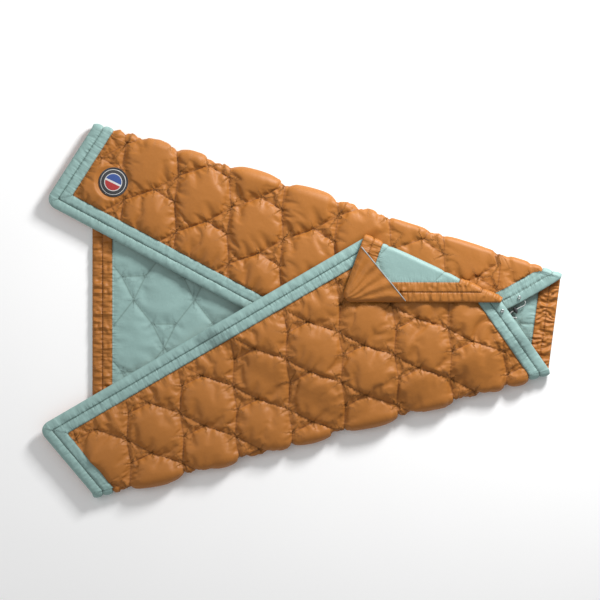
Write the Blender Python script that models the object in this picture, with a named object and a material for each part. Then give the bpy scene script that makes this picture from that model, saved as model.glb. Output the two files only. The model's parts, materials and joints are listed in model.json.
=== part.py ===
"""Quilted camp blanket, folded as a wrap: a back panel with two flaps folded over it,
one flap's neck corner turned out as a lapel, and a drawcord with a cord lock at the neck.

Frame: metres, +Z up, +X from hem to neck, origin at the middle of the footprint on the ground.
"""
import math

import bmesh
import bpy
from mathutils import Matrix, Vector

# ---- driving dimensions, in metres and degrees -------------------------------------------
# The quilt as it lies folded
LENGTH = 1.389               # hem to neck
HEM_WIDTH = 1.096            # between the two fold lines at the hem
NECK_WIDTH = 0.273           # between the two fold lines at the neck
NECK_SHIFT = -0.040          # middle of the neck, sideways from the middle of the hem
NECK_RAKE = 0.036            # how much further the neck reaches on its left side
LOFT = 0.020                 # thickness of one quilted layer
FABRIC = 0.0006              # one sewn fabric skin
GAP = 0.0003                 # clearance between pieces that touch

# Left flap, folded first
LEFT_HEM_EDGE = 0.267        # hem edge, from the fold line to the corner
LEFT_HEM_ANGLE = 104.8       # between the fold line and the hem edge
LEFT_SIDE_ANGLE = 10.2       # between the fold line and the side edge
LEFT_TUCK = 0.359            # side length drawn in at the hidden neck corner
LEFT_NECK_BOW = 0.034        # how far the gathered neck edge bows out
LEFT_NECK_STEPS = 6

# Right flap, folded over the left one
RIGHT_HEM_EDGE = 0.256
RIGHT_HEM_ANGLE = 115.0
RIGHT_SIDE_ANGLE = 15.0
RIGHT_NECK_EDGE = 0.245      # from the fold line to the lapel's crease
RIGHT_NECK_ANGLE = 110.0
DRAPE_MARGIN = 0.075         # how far past the left flap's edge the right one stays lifted
DRAPE_RUN = 0.090            # length over which it then comes down to the back
DRAPE_CELL = 0.050           # size of the cells that follow the drape

# Lapel, the right flap's neck corner turned out over its crease
LAPEL_TURN = 0.258           # side length that is turned out with the corner
LAPEL_SIDE = 0.203           # visible side edge of the lapel
LAPEL_ANGLE = 85.0           # between the crease and the lapel's side edge

# Border of two padded channels round every free edge
BORDER = 0.060
CHANNEL_SEAM = 0.0010        # sewn line between two channels
CORD_TUNNEL = 0.0040         # the same line at the neck, where the drawcord runs
CORNER_RADIUS = 0.036
INNER_RADIUS = 0.004
CORNER_STEPS = 5

# Hand pocket across the lapel's corner
POCKET_SIDE = 0.179          # reach along the lapel's side edge
POCKET_NECK = 0.198          # reach along the lapel's neck edge
POCKET_ROOM = 0.010          # room for the fingers
POCKET_PANEL = 0.0012
POCKET_SEAM = 0.008          # width of the sewn-down edge
BINDING_WIDTH = 0.004
BINDING_HEIGHT = 0.0024
BINDING_TRIM = 0.004         # cut off each end, clear of the lapel's edges

# Drawcord, cord lock and eyelets
CORD_DIAMETER = 0.0026
CORD_STOP = 0.040            # from a panel's corner to the end of the cord inside its tunnel
DRAPE_PIECES = 8             # pieces of the tunnelled cord that follow the drape
EYELET_SHARE = 0.80          # place along the left flap's neck edge
EYELET_FROM_CREASE = 0.020   # place along the right flap's neck edge
EYELET_INSET = 0.015         # in from the edge, on the outer channel
EYELET_OUTER = 0.0055
EYELET_INNER = 0.0024
EYELET_HEIGHT = 0.0010
LOCK_RADIUS = 0.0055
LOCK_LENGTH = 0.0150
LOCK_BORE_RADIUS = 0.0038
LOCK_FLOOR = 0.0014
LOCK_BEVEL = 0.0008
PLUNGER_BEVEL = 0.0005
OVERSHOOT = 0.002            # of a cutter past the face it cuts
PLUNGER_CLEARANCE = 0.0003
PLUNGER_PROUD = 0.0035
PLUNGER_TRAVEL = 0.0020
CORD_HOLE_RADIUS = 0.0017
SPRING_WIRE = 0.0005
SPRING_TURNS = 3
SPRING_STEPS = 12
LOCK_SLIDE = 0.0040          # how far the lock slides each way on the cord's straight stretch

# The drawcord's free end, from where it leaves the left flap's neck edge. Each point is along the
# edge, out from it, and a level: 0 where the knot lies on the back, 1 in the lock, 2 at the exit.
CORD_ROUTE = (
    (0.0123, 0.0006, 2.00),
    (0.0121, 0.0053, 1.89),
    (0.0096, 0.0100, 1.49),
    (0.0046, 0.0131, 1.16),
    (-0.0015, 0.0136, 1.02),
    (-0.0085, 0.0136, 1.00),
    (-0.0144, 0.0143, 1.00),
    (-0.0243, 0.0155, 1.00),
    (-0.0343, 0.0167, 1.00),
    (-0.0397, 0.0183, 0.75),
    (-0.0430, 0.0231, 0.36),
    (-0.0423, 0.0293, 0.07),
    (-0.0383, 0.0341, 0.00),
    (-0.0331, 0.0373, 0.00),
)
CORD_STEPS = 4               # points on each stretch of the route
LOCK_POINT = 7               # of the route, where the lock sits
KNOT_RADIUS = 0.0026
KNOT_CLEARANCE = 0.0004      # between the knot and the back

# Round patch on the left flap
PATCH_RADIUS = 0.0445
PATCH_THICKNESS = 0.0012
PATCH_RIM_WIDTH = 0.004
PATCH_RIM = 0.0016           # height of the rim
PATCH_ALONG = 0.155          # centre, along the side edge from the hem corner
PATCH_INSET = 0.1520         # centre, in from the side edge

# ---- values that follow ------------------------------------------------------------------
PITCH = LOFT + GAP                       # from one layer to the next
FOLD_RADIUS = PITCH - GAP / 2            # a fold wraps two layers
FOLD_STEPS = 16
SKIN_LOW = (0.0, FABRIC)
CORE = (FABRIC + GAP, LOFT - FABRIC - GAP)
SKIN_HIGH = (LOFT - FABRIC, LOFT)

BROWN = (0.42, 0.20, 0.075)
TEAL = (0.27, 0.42, 0.39)
WHITE = (0.86, 0.85, 0.82)
GREY = (0.55, 0.56, 0.56)
DARK = (0.03, 0.03, 0.035)


def direction(degrees):
    angle = math.radians(degrees)
    return Vector((math.cos(angle), math.sin(angle)))


def heading(start, end):
    step = end - start
    return math.degrees(math.atan2(step.y, step.x))


# ---- plan of the folded quilt ------------------------------------------------------------
class Plan:
    """Corners of every panel, seen from above."""

    def __init__(self):
        half_hem = HEM_WIDTH / 2
        half_neck = NECK_WIDTH / 2
        self.left_hem = Vector((0.0, half_hem))
        self.right_hem = Vector((0.0, -half_hem))
        self.left_neck = Vector((LENGTH + NECK_RAKE / 2, NECK_SHIFT + half_neck))
        self.right_neck = Vector((LENGTH - NECK_RAKE / 2, NECK_SHIFT - half_neck))
        left = heading(self.left_hem, self.left_neck)
        right = heading(self.right_hem, self.right_neck)
        self.left_corner = self.left_hem + LEFT_HEM_EDGE * direction(left - LEFT_HEM_ANGLE)
        self.left_tip = self.left_corner + (LENGTH - LEFT_TUCK) * direction(left - LEFT_SIDE_ANGLE)
        self.right_corner = self.right_hem + RIGHT_HEM_EDGE * direction(right + RIGHT_HEM_ANGLE)
        side = direction(right + RIGHT_SIDE_ANGLE)
        self.crease_side = self.right_corner + (LENGTH - LAPEL_TURN) * side
        self.crease_neck = self.right_neck + RIGHT_NECK_EDGE * direction(right + RIGHT_NECK_ANGLE)
        crease = heading(self.crease_side, self.crease_neck)
        self.lapel_tip = self.crease_side + LAPEL_SIDE * direction(crease - LAPEL_ANGLE)
        self.left_bow = bowed(self.left_tip, self.left_neck, LEFT_NECK_BOW, LEFT_NECK_STEPS)


def bowed(start, end, bow, steps):
    """Points after start, up to end, of an edge that bows out to its right by bow."""
    along = end - start
    out = Vector((along.y, -along.x)).normalized()
    points = []
    for step in range(1, steps + 1):
        share = step / steps
        points.append(start + share * along + 4 * bow * share * (1 - share) * out)
    return points


def offset(path, distance):
    """The open path moved to its left by distance, with mitred corners."""
    moved = []
    for index, point in enumerate(path):
        before = path[max(index - 1, 0)]
        after = path[min(index + 1, len(path) - 1)]
        first = (point - before).normalized() if index else (after - point).normalized()
        last = (after - point).normalized() if index < len(path) - 1 else first
        tangent = (first + last).normalized()
        normal = Vector((-tangent.y, tangent.x))
        side = Vector((-first.y, first.x))
        moved.append(point + normal * distance / max(normal.dot(side), 0.3))
    return moved


def rounded(path, corners, radius):
    """The path with the corners at the given indices turned into arcs."""
    points = []
    for index, point in enumerate(path):
        if index not in corners:
            points.append(point)
            continue
        back = (path[index - 1] - point).normalized()
        ahead = (path[index + 1] - point).normalized()
        half = back.angle(ahead) / 2
        middle = point + (back + ahead).normalized() * radius / math.sin(half)
        start = point + back * radius / math.tan(half) - middle
        end = point + ahead * radius / math.tan(half) - middle
        turn = start.angle_signed(end)
        for step in range(CORNER_STEPS + 1):
            spin = Matrix.Rotation(-turn * step / CORNER_STEPS, 2)
            points.append(middle + spin @ start)
    return points


def extended(path, length):
    """The path with both ends carried on straight."""
    first = path[0] + (path[0] - path[1]).normalized() * length
    last = path[-1] + (path[-1] - path[-2]).normalized() * length
    return [first] + list(path[1:-1]) + [last]


class Edge:
    """A free edge of a panel, inside on its left, and the planes that end the panel."""

    def __init__(self, path, corners, ends):
        self.path = extended(path, 2 * BORDER)
        self.corners = corners
        self.ends = ends

    def line(self, distance):
        radius = max(CORNER_RADIUS - distance, INNER_RADIUS)
        return rounded(offset(self.path, distance), self.corners, radius)

    def band(self, near, far):
        """Four-sided pieces of the strip between two distances from the edge."""
        outer = self.line(near)
        inner = self.line(far)
        return list(zip(outer, outer[1:], inner[1:], inner))


# ---- solids ------------------------------------------------------------------------------
def piecewise(height, x, y):
    """The height read on a lattice of triangles, so that layers stay parallel."""
    column = math.floor(x / DRAPE_CELL)
    row = math.floor(y / DRAPE_CELL)
    across = x / DRAPE_CELL - column
    up = y / DRAPE_CELL - row

    def node(i, j):
        return height((column + i) * DRAPE_CELL, (row + j) * DRAPE_CELL)

    if across + up <= 1:
        return node(0, 0) + across * (node(1, 0) - node(0, 0)) + up * (node(0, 1) - node(0, 0))
    return node(1, 1) + (1 - across) * (node(0, 1) - node(1, 1)) + (1 - up) * (node(1, 0) - node(1, 1))


def cut(bm, point, normal, clear=True):
    """Cut by an upright plane; with clear, what lies along the normal is removed."""
    geometry = bm.verts[:] + bm.edges[:] + bm.faces[:]
    bmesh.ops.bisect_plane(bm, geom=geometry, dist=1e-7, plane_co=(point[0], point[1], 0.0),
                           plane_no=(normal[0], normal[1], 0.0), clear_outer=clear)


def cut_lattice(bm):
    """Cut the flat faces along the drape's lattice of triangles."""
    families = (Vector((1, 0)), Vector((0, 1)), Vector((1, 1)))
    for normal in families:
        reach = [normal.dot(vertex.co.xy) / DRAPE_CELL for vertex in bm.verts]
        for index in range(math.ceil(min(reach)), math.floor(max(reach)) + 1):
            cut(bm, normal * index * DRAPE_CELL / normal.dot(normal), normal, clear=False)


def slab(outlines, low, high, planes=(), height=None):
    """Mesh of the outlines, ended at the planes, between two offsets from a height."""
    bm = bmesh.new()
    for outline in outlines:
        bm.faces.new([bm.verts.new((point.x, point.y, 0.0)) for point in outline])
    bmesh.ops.remove_doubles(bm, verts=bm.verts[:], dist=1e-6)
    for point, normal in planes:
        cut(bm, point, normal)
    if height:
        cut_lattice(bm)
    for vertex in bm.verts:
        vertex.co.z = low + (piecewise(height, vertex.co.x, vertex.co.y) if height else 0.0)
    raised = bmesh.ops.extrude_face_region(bm, geom=bm.faces[:], use_keep_orig=True)
    lifted = [item for item in raised["geom"] if isinstance(item, bmesh.types.BMVert)]
    bmesh.ops.translate(bm, verts=lifted, vec=(0.0, 0.0, high - low))
    bmesh.ops.recalc_face_normals(bm, faces=bm.faces[:])
    mesh = bpy.data.meshes.new("slab")
    bm.to_mesh(mesh)
    bm.free()
    return mesh


class Builder:
    """Makes the objects of the blanket, each with its own material, under its body."""

    def __init__(self):
        self.plan = Plan()
        self.parts = new_collection("camp_blanket")
        self.cutters = new_collection("cutters")
        self.bodies = {}

    def body(self, name, place, parent=None):
        empty = bpy.data.objects.new(name, None)
        self.parts.objects.link(empty)
        empty.location = place
        if parent:
            attach(empty, self.bodies[parent])
        self.bodies[name] = empty
        return empty

    def add(self, name, mesh, body, colour, roughness=0.6, metallic=0.0):
        thing = bpy.data.objects.new(name, mesh)
        self.parts.objects.link(thing)
        mesh.name = name
        mesh.materials.clear()
        mesh.materials.append(material(name, colour, roughness, metallic))
        attach(thing, self.bodies[body])
        return thing

    def cutter(self, name, mesh):
        thing = bpy.data.objects.new(name, mesh)
        self.cutters.objects.link(thing)
        thing.hide_render = True
        thing.display_type = "WIRE"
        return thing


def new_collection(name):
    collection = bpy.data.collections.new(name)
    bpy.context.scene.collection.children.link(collection)
    return collection


def attach(thing, parent):
    """Parent without moving; the parents here are neither turned nor scaled."""
    thing.parent = parent
    origin = Vector()
    link = parent
    while link:
        origin += link.location
        link = link.parent
    if thing.type == "EMPTY":
        thing.location = thing.location - origin
    else:
        thing.data.transform(Matrix.Translation(-origin))


def material(name, colour, roughness, metallic):
    finish = bpy.data.materials.new(name)
    finish.use_nodes = True
    shader = finish.node_tree.nodes["Principled BSDF"]
    shader.inputs["Base Color"].default_value = (*colour, 1.0)
    shader.inputs["Roughness"].default_value = roughness
    shader.inputs["Metallic"].default_value = metallic
    return finish


def boolean(target, cutter, operation="DIFFERENCE"):
    modifier = target.modifiers.new(cutter.name, "BOOLEAN")
    modifier.operation = operation
    modifier.object = cutter
    modifier.solver = "EXACT"


# ---- panels ------------------------------------------------------------------------------
def beyond(start, end, outside):
    """Plane through a fold or crease line, facing away from the panel, less the clearance."""
    along = (end - start).normalized()
    normal = Vector((-along.y, along.x))
    if normal.dot(outside - start) < 0:
        normal = -normal
    return (start - normal * GAP / 2, normal)


def quilted(builder, name, body, outline, planes, level, outer_up, height=None):
    """Shell, fill and lining of a panel's quilted middle."""
    order = (SKIN_LOW, SKIN_HIGH) if outer_up else (SKIN_HIGH, SKIN_LOW)
    skins = ((name + "_lining", order[0], TEAL), (name + "_shell", order[1], BROWN))
    for node, (low, high), colour in skins:
        mesh = slab([outline], level + low, level + high, planes, height)
        builder.add(node, mesh, body, colour)
    mesh = slab([outline], level + CORE[0], level + CORE[1], planes, height)
    builder.add(name + "_fill", mesh, body, WHITE, 0.9)


def bordered(builder, name, body, edge, level, outer_up, seam, height=None):
    """Outer border, two padded channels and inner facing along one free edge."""
    order = (SKIN_LOW, SKIN_HIGH) if outer_up else (SKIN_HIGH, SKIN_LOW)
    inner = BORDER - GAP
    middle = BORDER / 2
    pieces = (
        (name + "_facing", 0.0, inner, order[0], BROWN),
        (name + "_border", 0.0, inner, order[1], TEAL),
        (name + "_outer_channel", GAP, middle - seam / 2, CORE, WHITE),
        (name + "_inner_channel", middle + seam / 2, inner, CORE, WHITE),
    )
    for node, near, far, (low, high), colour in pieces:
        mesh = slab(edge.band(near, far), level + low, level + high, edge.ends, height)
        builder.add(node, mesh, body, colour)


def fold_roll(builder, name, body, start, end, outside, level):
    """Half-round roll of quilt that joins two layers outside a fold line."""
    along = end - start
    normal = Vector((-along.y, along.x)).normalized()
    if normal.dot(outside - start) < 0:
        normal = -normal
    bm = bmesh.new()
    bmesh.ops.create_circle(bm, cap_ends=True, segments=FOLD_STEPS, radius=FOLD_RADIUS)
    geometry = bm.verts[:] + bm.edges[:] + bm.faces[:]
    bmesh.ops.bisect_plane(bm, geom=geometry, dist=1e-7, plane_co=(GAP / 2, 0, 0),
                           plane_no=(1, 0, 0), clear_inner=True)
    raised = bmesh.ops.extrude_face_region(bm, geom=bm.faces[:], use_keep_orig=True)
    lifted = [item for item in raised["geom"] if isinstance(item, bmesh.types.BMVert)]
    bmesh.ops.translate(bm, verts=lifted, vec=(0.0, 0.0, along.length))
    frame = Matrix((
        (normal.x, 0.0, along.normalized().x, start.x),
        (normal.y, 0.0, along.normalized().y, start.y),
        (0.0, 1.0, 0.0, level),
        (0.0, 0.0, 0.0, 1.0),
    ))
    bmesh.ops.transform(bm, matrix=frame, verts=bm.verts[:])
    bmesh.ops.recalc_face_normals(bm, faces=bm.faces[:])
    mesh = bpy.data.meshes.new(name)
    bm.to_mesh(mesh)
    bm.free()
    builder.add(name, mesh, body, BROWN)


def make_back(builder):
    plan = builder.plan
    above = beyond(plan.left_hem, plan.left_neck, plan.left_hem + Vector((0, 1)))
    below = beyond(plan.right_hem, plan.right_neck, plan.right_hem - Vector((0, 1)))
    folds = (above, below)
    hem = Edge([plan.left_hem, plan.right_hem], (), folds)
    neck = Edge([plan.right_neck, plan.left_neck], (), folds)
    field = hem.line(BORDER) + neck.line(BORDER)
    quilted(builder, "back", "back", field, folds, 0.0, False)
    bordered(builder, "back_hem", "back", hem, 0.0, False, CHANNEL_SEAM)
    bordered(builder, "back_neck", "back", neck, 0.0, False, CORD_TUNNEL)
    for name, start, end, outside in (
        ("left_fold", plan.left_hem, plan.left_neck, plan.left_hem + Vector((0, 1))),
        ("right_fold", plan.right_hem, plan.right_neck, plan.right_hem - Vector((0, 1))),
    ):
        fold_roll(builder, name, "back", start, end, outside, FOLD_RADIUS)


def left_edge(plan):
    path = [plan.left_hem, plan.left_corner, plan.left_tip] + plan.left_bow
    return Edge(path, (1, 2), (beyond(plan.left_hem, plan.left_neck, plan.left_hem + Vector((0, 1))),))


def make_left_flap(builder):
    edge = left_edge(builder.plan)
    quilted(builder, "left", "left_flap", edge.line(BORDER), edge.ends, PITCH, True)
    bordered(builder, "left_edge", "left_flap", edge, PITCH, True, CORD_TUNNEL)


def drape_height(plan):
    """Height of the right flap's underside over the back and the left flap."""
    outline = [plan.left_corner, plan.left_tip] + plan.left_bow

    def outside_by(x, y):
        furthest = -1.0
        for start, end in zip(outline, outline[1:]):
            along = (end - start).normalized()
            furthest = max(furthest, (x - start.x) * along.y - (y - start.y) * along.x)
        return furthest

    def height(x, y):
        share = (outside_by(x, y) - DRAPE_MARGIN) / DRAPE_RUN
        share = min(max(share, 0.0), 1.0)
        return PITCH * (2 - share * share * (3 - 2 * share))

    return height


def make_right_flap(builder):
    plan = builder.plan
    fold = beyond(plan.right_hem, plan.right_neck, plan.right_hem - Vector((0, 1)))
    crease = beyond(plan.crease_side, plan.crease_neck, plan.crease_side + Vector((0, 1)))
    side = Edge([plan.crease_side, plan.right_corner, plan.right_hem], (1,), (fold, crease))
    neck = Edge([plan.right_neck, plan.crease_neck], (), (fold, crease))
    field = side.line(BORDER) + neck.line(BORDER)
    height = drape_height(plan)
    quilted(builder, "right", "right_flap", field, (fold, crease), 0.0, True, height)
    bordered(builder, "right_edge", "right_flap", side, 0.0, True, CHANNEL_SEAM, height)
    bordered(builder, "right_neck", "right_flap", neck, 0.0, True, CORD_TUNNEL, height)
    fold_roll(builder, "lapel_fold", "right_flap", plan.crease_side, plan.crease_neck,
              plan.crease_side + Vector((0, 1)), 2 * PITCH + FOLD_RADIUS)


def make_lapel(builder):
    plan = builder.plan
    crease = beyond(plan.crease_side, plan.crease_neck, plan.crease_side + Vector((0, 1)))
    edge = Edge([plan.crease_side, plan.lapel_tip, plan.crease_neck], (1,), (crease,))
    level = 3 * PITCH
    quilted(builder, "lapel", "lapel", edge.line(BORDER), (crease,), level, False)
    bordered(builder, "lapel_edge", "lapel", edge, level, False, CHANNEL_SEAM)
    make_pocket(builder, edge, level + LOFT)


def make_pocket(builder, edge, level):
    """Triangular hand pocket sewn along the lapel's corner, open along its long side."""
    plan = builder.plan
    tip = plan.lapel_tip
    side_end = tip + POCKET_SIDE * (plan.crease_side - tip).normalized()
    neck_end = tip + POCKET_NECK * (plan.crease_neck - tip).normalized()
    mouth = beyond(side_end, neck_end, plan.crease_side)
    floor = level + GAP
    roof = floor + POCKET_ROOM
    panel = slab([edge.line(GAP)], roof, roof + POCKET_PANEL, (mouth,))
    pocket = builder.add("pocket_panel", panel, "lapel", BROWN)
    seam = slab(edge.band(GAP, POCKET_SEAM), floor, roof + POCKET_PANEL / 2, (mouth,))
    boolean(pocket, builder.cutter("pocket_seam", seam), "UNION")
    along = (neck_end - side_end).normalized()
    out = mouth[1]
    start = side_end + out * GAP
    end = neck_end + out * GAP
    outline = [start, end, end + out * BINDING_WIDTH, start + out * BINDING_WIDTH]
    binding = slab([outline], roof, roof + BINDING_HEIGHT, ((start + along * BINDING_TRIM, -along),
                                                            (end - along * BINDING_TRIM, along)))
    builder.add("pocket_binding", binding, "lapel", GREY)


# ---- drawcord, cord lock, eyelets --------------------------------------------------------
def tube(points, radius, resolution=2):
    """Mesh of a round tube along the points, with its caps welded on."""
    curve = bpy.data.curves.new("tube", "CURVE")
    curve.dimensions = "3D"
    curve.bevel_depth = radius
    curve.bevel_resolution = resolution
    curve.use_fill_caps = True
    spline = curve.splines.new("POLY")
    spline.points.add(len(points) - 1)
    for control, point in zip(spline.points, points):
        control.co = (*point, 1.0)
    guide = bpy.data.objects.new("tube", curve)
    bpy.context.scene.collection.objects.link(guide)
    depsgraph = bpy.context.evaluated_depsgraph_get()
    mesh = bpy.data.meshes.new_from_object(guide.evaluated_get(depsgraph))
    bpy.data.objects.remove(guide)
    bm = bmesh.new()
    bm.from_mesh(mesh)
    bmesh.ops.remove_doubles(bm, verts=bm.verts[:], dist=1e-6)
    bmesh.ops.recalc_face_normals(bm, faces=bm.faces[:])
    bm.to_mesh(mesh)
    bm.free()
    return mesh


def smooth_route(route, steps):
    """Points of a smooth curve through the route's own points."""
    points = [Vector(point) for point in route]
    padded = [2 * points[0] - points[1]] + points + [2 * points[-1] - points[-2]]
    curve = []
    for before, start, end, after in zip(padded, padded[1:], padded[2:], padded[3:]):
        for step in range(steps):
            t = step / steps
            curve.append(0.5 * (2 * start + (end - before) * t
                                + (2 * before - 5 * start + 4 * end - after) * t ** 2
                                + (3 * start - before - 3 * end + after) * t ** 3))
    return curve + [points[-1]]


def cylinder(radius, low, high, frame, segments=20, bevel=0.0):
    """Cylinder along the frame's Z axis."""
    bm = bmesh.new()
    bmesh.ops.create_cone(bm, cap_ends=True, segments=segments, radius1=radius, radius2=radius,
                          depth=high - low)
    if bevel:
        rims = [edge for edge in bm.edges if abs(edge.verts[0].co.z - edge.verts[1].co.z) < 1e-6]
        bmesh.ops.bevel(bm, geom=rims, offset=bevel, affect="EDGES", segments=1, profile=0.5)
    bmesh.ops.transform(bm, matrix=frame @ Matrix.Translation((0, 0, (low + high) / 2)),
                        verts=bm.verts[:])
    mesh = bpy.data.meshes.new("cylinder")
    bm.to_mesh(mesh)
    bm.free()
    return mesh


def ring(inner, outer, height, frame, segments=20):
    """Flat ring turned from a rectangle about the frame's Z axis."""
    bm = bmesh.new()
    section = [bm.verts.new(point) for point in
               ((inner, 0, 0), (outer, 0, 0), (outer, 0, height), (inner, 0, height))]
    sides = [bm.edges.new(pair) for pair in zip(section, section[1:] + section[:1])]
    bmesh.ops.spin(bm, geom=section + sides, angle=math.tau, steps=segments, axis=(0, 0, 1),
                   cent=(0, 0, 0), use_merge=True)
    bmesh.ops.remove_doubles(bm, verts=bm.verts[:], dist=1e-6)
    bmesh.ops.recalc_face_normals(bm, faces=bm.faces[:])
    bmesh.ops.transform(bm, matrix=frame, verts=bm.verts[:])
    mesh = bpy.data.meshes.new("ring")
    bm.to_mesh(mesh)
    bm.free()
    return mesh


def make_neck_cords(builder):
    """The drawcord's stretches inside the neck's tunnel, one on each body."""
    plan = builder.plan
    height = drape_height(plan)
    reach = BORDER / 2
    neck = offset([plan.right_neck, plan.left_neck], reach)
    left = offset([plan.left_tip] + plan.left_bow, reach)[2:]
    right = offset([plan.right_neck, plan.crease_neck], reach)
    middle = LOFT / 2
    runs = (
        ("neck_cord_back", "back", shortened(neck, CORD_STOP), lambda x, y: middle),
        ("neck_cord_left", "left_flap", shortened(left, CORD_STOP), lambda x, y: PITCH + middle),
        ("neck_cord_right", "right_flap", divided(shortened(right, CORD_STOP), DRAPE_PIECES),
         lambda x, y: piecewise(height, x, y) + middle),
    )
    for name, body, path, level in runs:
        points = [(point.x, point.y, level(point.x, point.y)) for point in path]
        builder.add(name, tube(points, CORD_DIAMETER / 2), body, WHITE)


def shortened(path, length):
    first = path[0] + (path[1] - path[0]).normalized() * length
    last = path[-1] + (path[-2] - path[-1]).normalized() * length
    return [first] + list(path[1:-1]) + [last]


def divided(path, steps):
    start, end = path
    return [start.lerp(end, step / steps) for step in range(steps + 1)]


def neck_edge_place(plan, share):
    """A place on the left flap's bowed neck edge, the way along it and the way out of it."""
    chord = plan.left_bow[-1] - plan.left_tip
    out = Vector((chord.y, -chord.x)).normalized()
    place = plan.left_tip + share * chord + 4 * LEFT_NECK_BOW * share * (1 - share) * out
    return place, chord.normalized(), out


def cord_route(plan):
    """Points of the drawcord's free end."""
    edge, along, out = neck_edge_place(plan, EYELET_SHARE)
    levels = (LOFT + KNOT_RADIUS + KNOT_CLEARANCE, LOFT + LOCK_RADIUS + GAP, PITCH + LOFT / 2)
    route = []
    for forward, sideways, level in CORD_ROUTE:
        step = min(int(level), 1)
        height = levels[step] + (levels[step + 1] - levels[step]) * (level - step)
        place = edge + forward * along + sideways * out
        route.append(Vector((place.x, place.y, height)))
    return route


def make_drawcord(builder):
    route = cord_route(builder.plan)
    points = smooth_route(route, CORD_STEPS)
    builder.add("drawcord", tube(points, CORD_DIAMETER / 2), "left_flap", WHITE)
    last = route[-1]
    way = (last - route[-2]).normalized()
    frame = Matrix.Translation(last + way * GAP) @ way.to_track_quat("Z", "Y").to_matrix().to_4x4()
    knot = cylinder(KNOT_RADIUS, 0.0, 2 * KNOT_RADIUS, frame, 12, KNOT_RADIUS / 3)
    builder.add("cord_knot", knot, "left_flap", WHITE)


def make_lock(builder):
    """Barrel cord lock: a sprung plunger pinches the cord in a hole through both."""
    route = cord_route(builder.plan)
    place = route[LOCK_POINT]
    stretch = route[LOCK_POINT + 1] - route[LOCK_POINT - 1]
    along = Vector((stretch.x, stretch.y)).normalized()
    axis = Vector((-along.y, along.x, 0.0))
    frame = Matrix.Translation(place) @ axis.to_track_quat("Z", "Y").to_matrix().to_4x4()
    across = Vector((along.x, along.y, 0.0)).to_track_quat("Z", "Y").to_matrix().to_4x4()
    half = LOCK_LENGTH / 2
    floor = -half + LOCK_FLOOR
    barrel = builder.add("lock_barrel", cylinder(LOCK_RADIUS, -half, half, frame, 24, LOCK_BEVEL),
                         "cord_lock", DARK, 0.4)
    bore = builder.cutter("lock_bore", cylinder(LOCK_BORE_RADIUS, floor, half + OVERSHOOT, frame))
    hole_frame = Matrix.Translation(place) @ across
    hole = builder.cutter("cord_hole", cylinder(CORD_HOLE_RADIUS, -LOCK_LENGTH, LOCK_LENGTH, hole_frame, 12))
    boolean(barrel, bore)
    boolean(barrel, hole)
    inner_end = -CORD_HOLE_RADIUS - PLUNGER_TRAVEL
    plunger = builder.add(
        "lock_plunger",
        cylinder(LOCK_BORE_RADIUS - PLUNGER_CLEARANCE, inner_end, half + PLUNGER_PROUD, frame, 20,
                 PLUNGER_BEVEL),
        "plunger", GREY, 0.4)
    slot = bmesh.new()
    bmesh.ops.create_cube(slot, size=1.0)
    size = Matrix.Diagonal((2 * CORD_HOLE_RADIUS, 2 * LOCK_LENGTH,
                            2 * CORD_HOLE_RADIUS + PLUNGER_TRAVEL, 1.0))
    turned = Matrix((
        (0.0, along.x, axis.x, place.x),
        (0.0, along.y, axis.y, place.y),
        (1.0, 0.0, 0.0, place.z),
        (0.0, 0.0, 0.0, 1.0),
    ))
    shift = Matrix.Translation((0.0, 0.0, PLUNGER_TRAVEL / 2))
    bmesh.ops.transform(slot, matrix=turned @ shift @ size, verts=slot.verts[:])
    bmesh.ops.recalc_face_normals(slot, faces=slot.faces[:])
    mesh = bpy.data.meshes.new("plunger_slot")
    slot.to_mesh(mesh)
    slot.free()
    boolean(plunger, builder.cutter("plunger_slot", mesh))
    make_spring(builder, frame, floor + GAP + SPRING_WIRE / 2, inner_end - GAP - SPRING_WIRE / 2)


def make_spring(builder, frame, low, high):
    radius = LOCK_BORE_RADIUS - PLUNGER_CLEARANCE - SPRING_WIRE
    count = SPRING_TURNS * SPRING_STEPS
    points = []
    for step in range(count + 1):
        angle = math.tau * step / SPRING_STEPS
        point = Vector((radius * math.cos(angle), radius * math.sin(angle),
                        low + (high - low) * step / count))
        points.append(frame @ point)
    builder.add("lock_spring", tube(points, SPRING_WIRE / 2), "cord_lock", GREY, 0.3, 1.0)


def make_patch(builder):
    plan = builder.plan
    along = (plan.left_tip - plan.left_corner).normalized()
    inward = Vector((-along.y, along.x))
    centre = plan.left_corner + PATCH_ALONG * along + PATCH_INSET * inward
    frame = Matrix.Translation((centre.x, centre.y, PITCH + LOFT + GAP))
    disc = cylinder(PATCH_RADIUS - PATCH_RIM_WIDTH - GAP, 0.0, PATCH_THICKNESS, frame, 32)
    builder.add("patch", disc, "left_flap", WHITE)
    rim = ring(PATCH_RADIUS - PATCH_RIM_WIDTH, PATCH_RADIUS, PATCH_RIM, frame, 32)
    builder.add("patch_rim", rim, "left_flap", DARK)


def make_eyelets(builder):
    """Rings where the drawcord leaves the neck's channels."""
    plan = builder.plan
    edge, _, out = neck_edge_place(plan, EYELET_SHARE)
    left = edge - out * EYELET_INSET
    right = plan.crease_neck + (plan.right_neck - plan.crease_neck).normalized() * EYELET_FROM_CREASE
    run = (plan.crease_neck - plan.right_neck).normalized()
    right += Vector((-run.y, run.x)) * EYELET_INSET
    height = drape_height(plan)
    places = (
        ("left_eyelet", "left_flap", left, PITCH),
        ("right_eyelet", "right_flap", right, piecewise(height, right.x, right.y)),
    )
    for name, body, place, level in places:
        frame = Matrix.Translation((place.x, place.y, level + LOFT + GAP))
        builder.add(name, ring(EYELET_INNER, EYELET_OUTER, EYELET_HEIGHT, frame), body, GREY, 0.3, 1.0)


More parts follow.
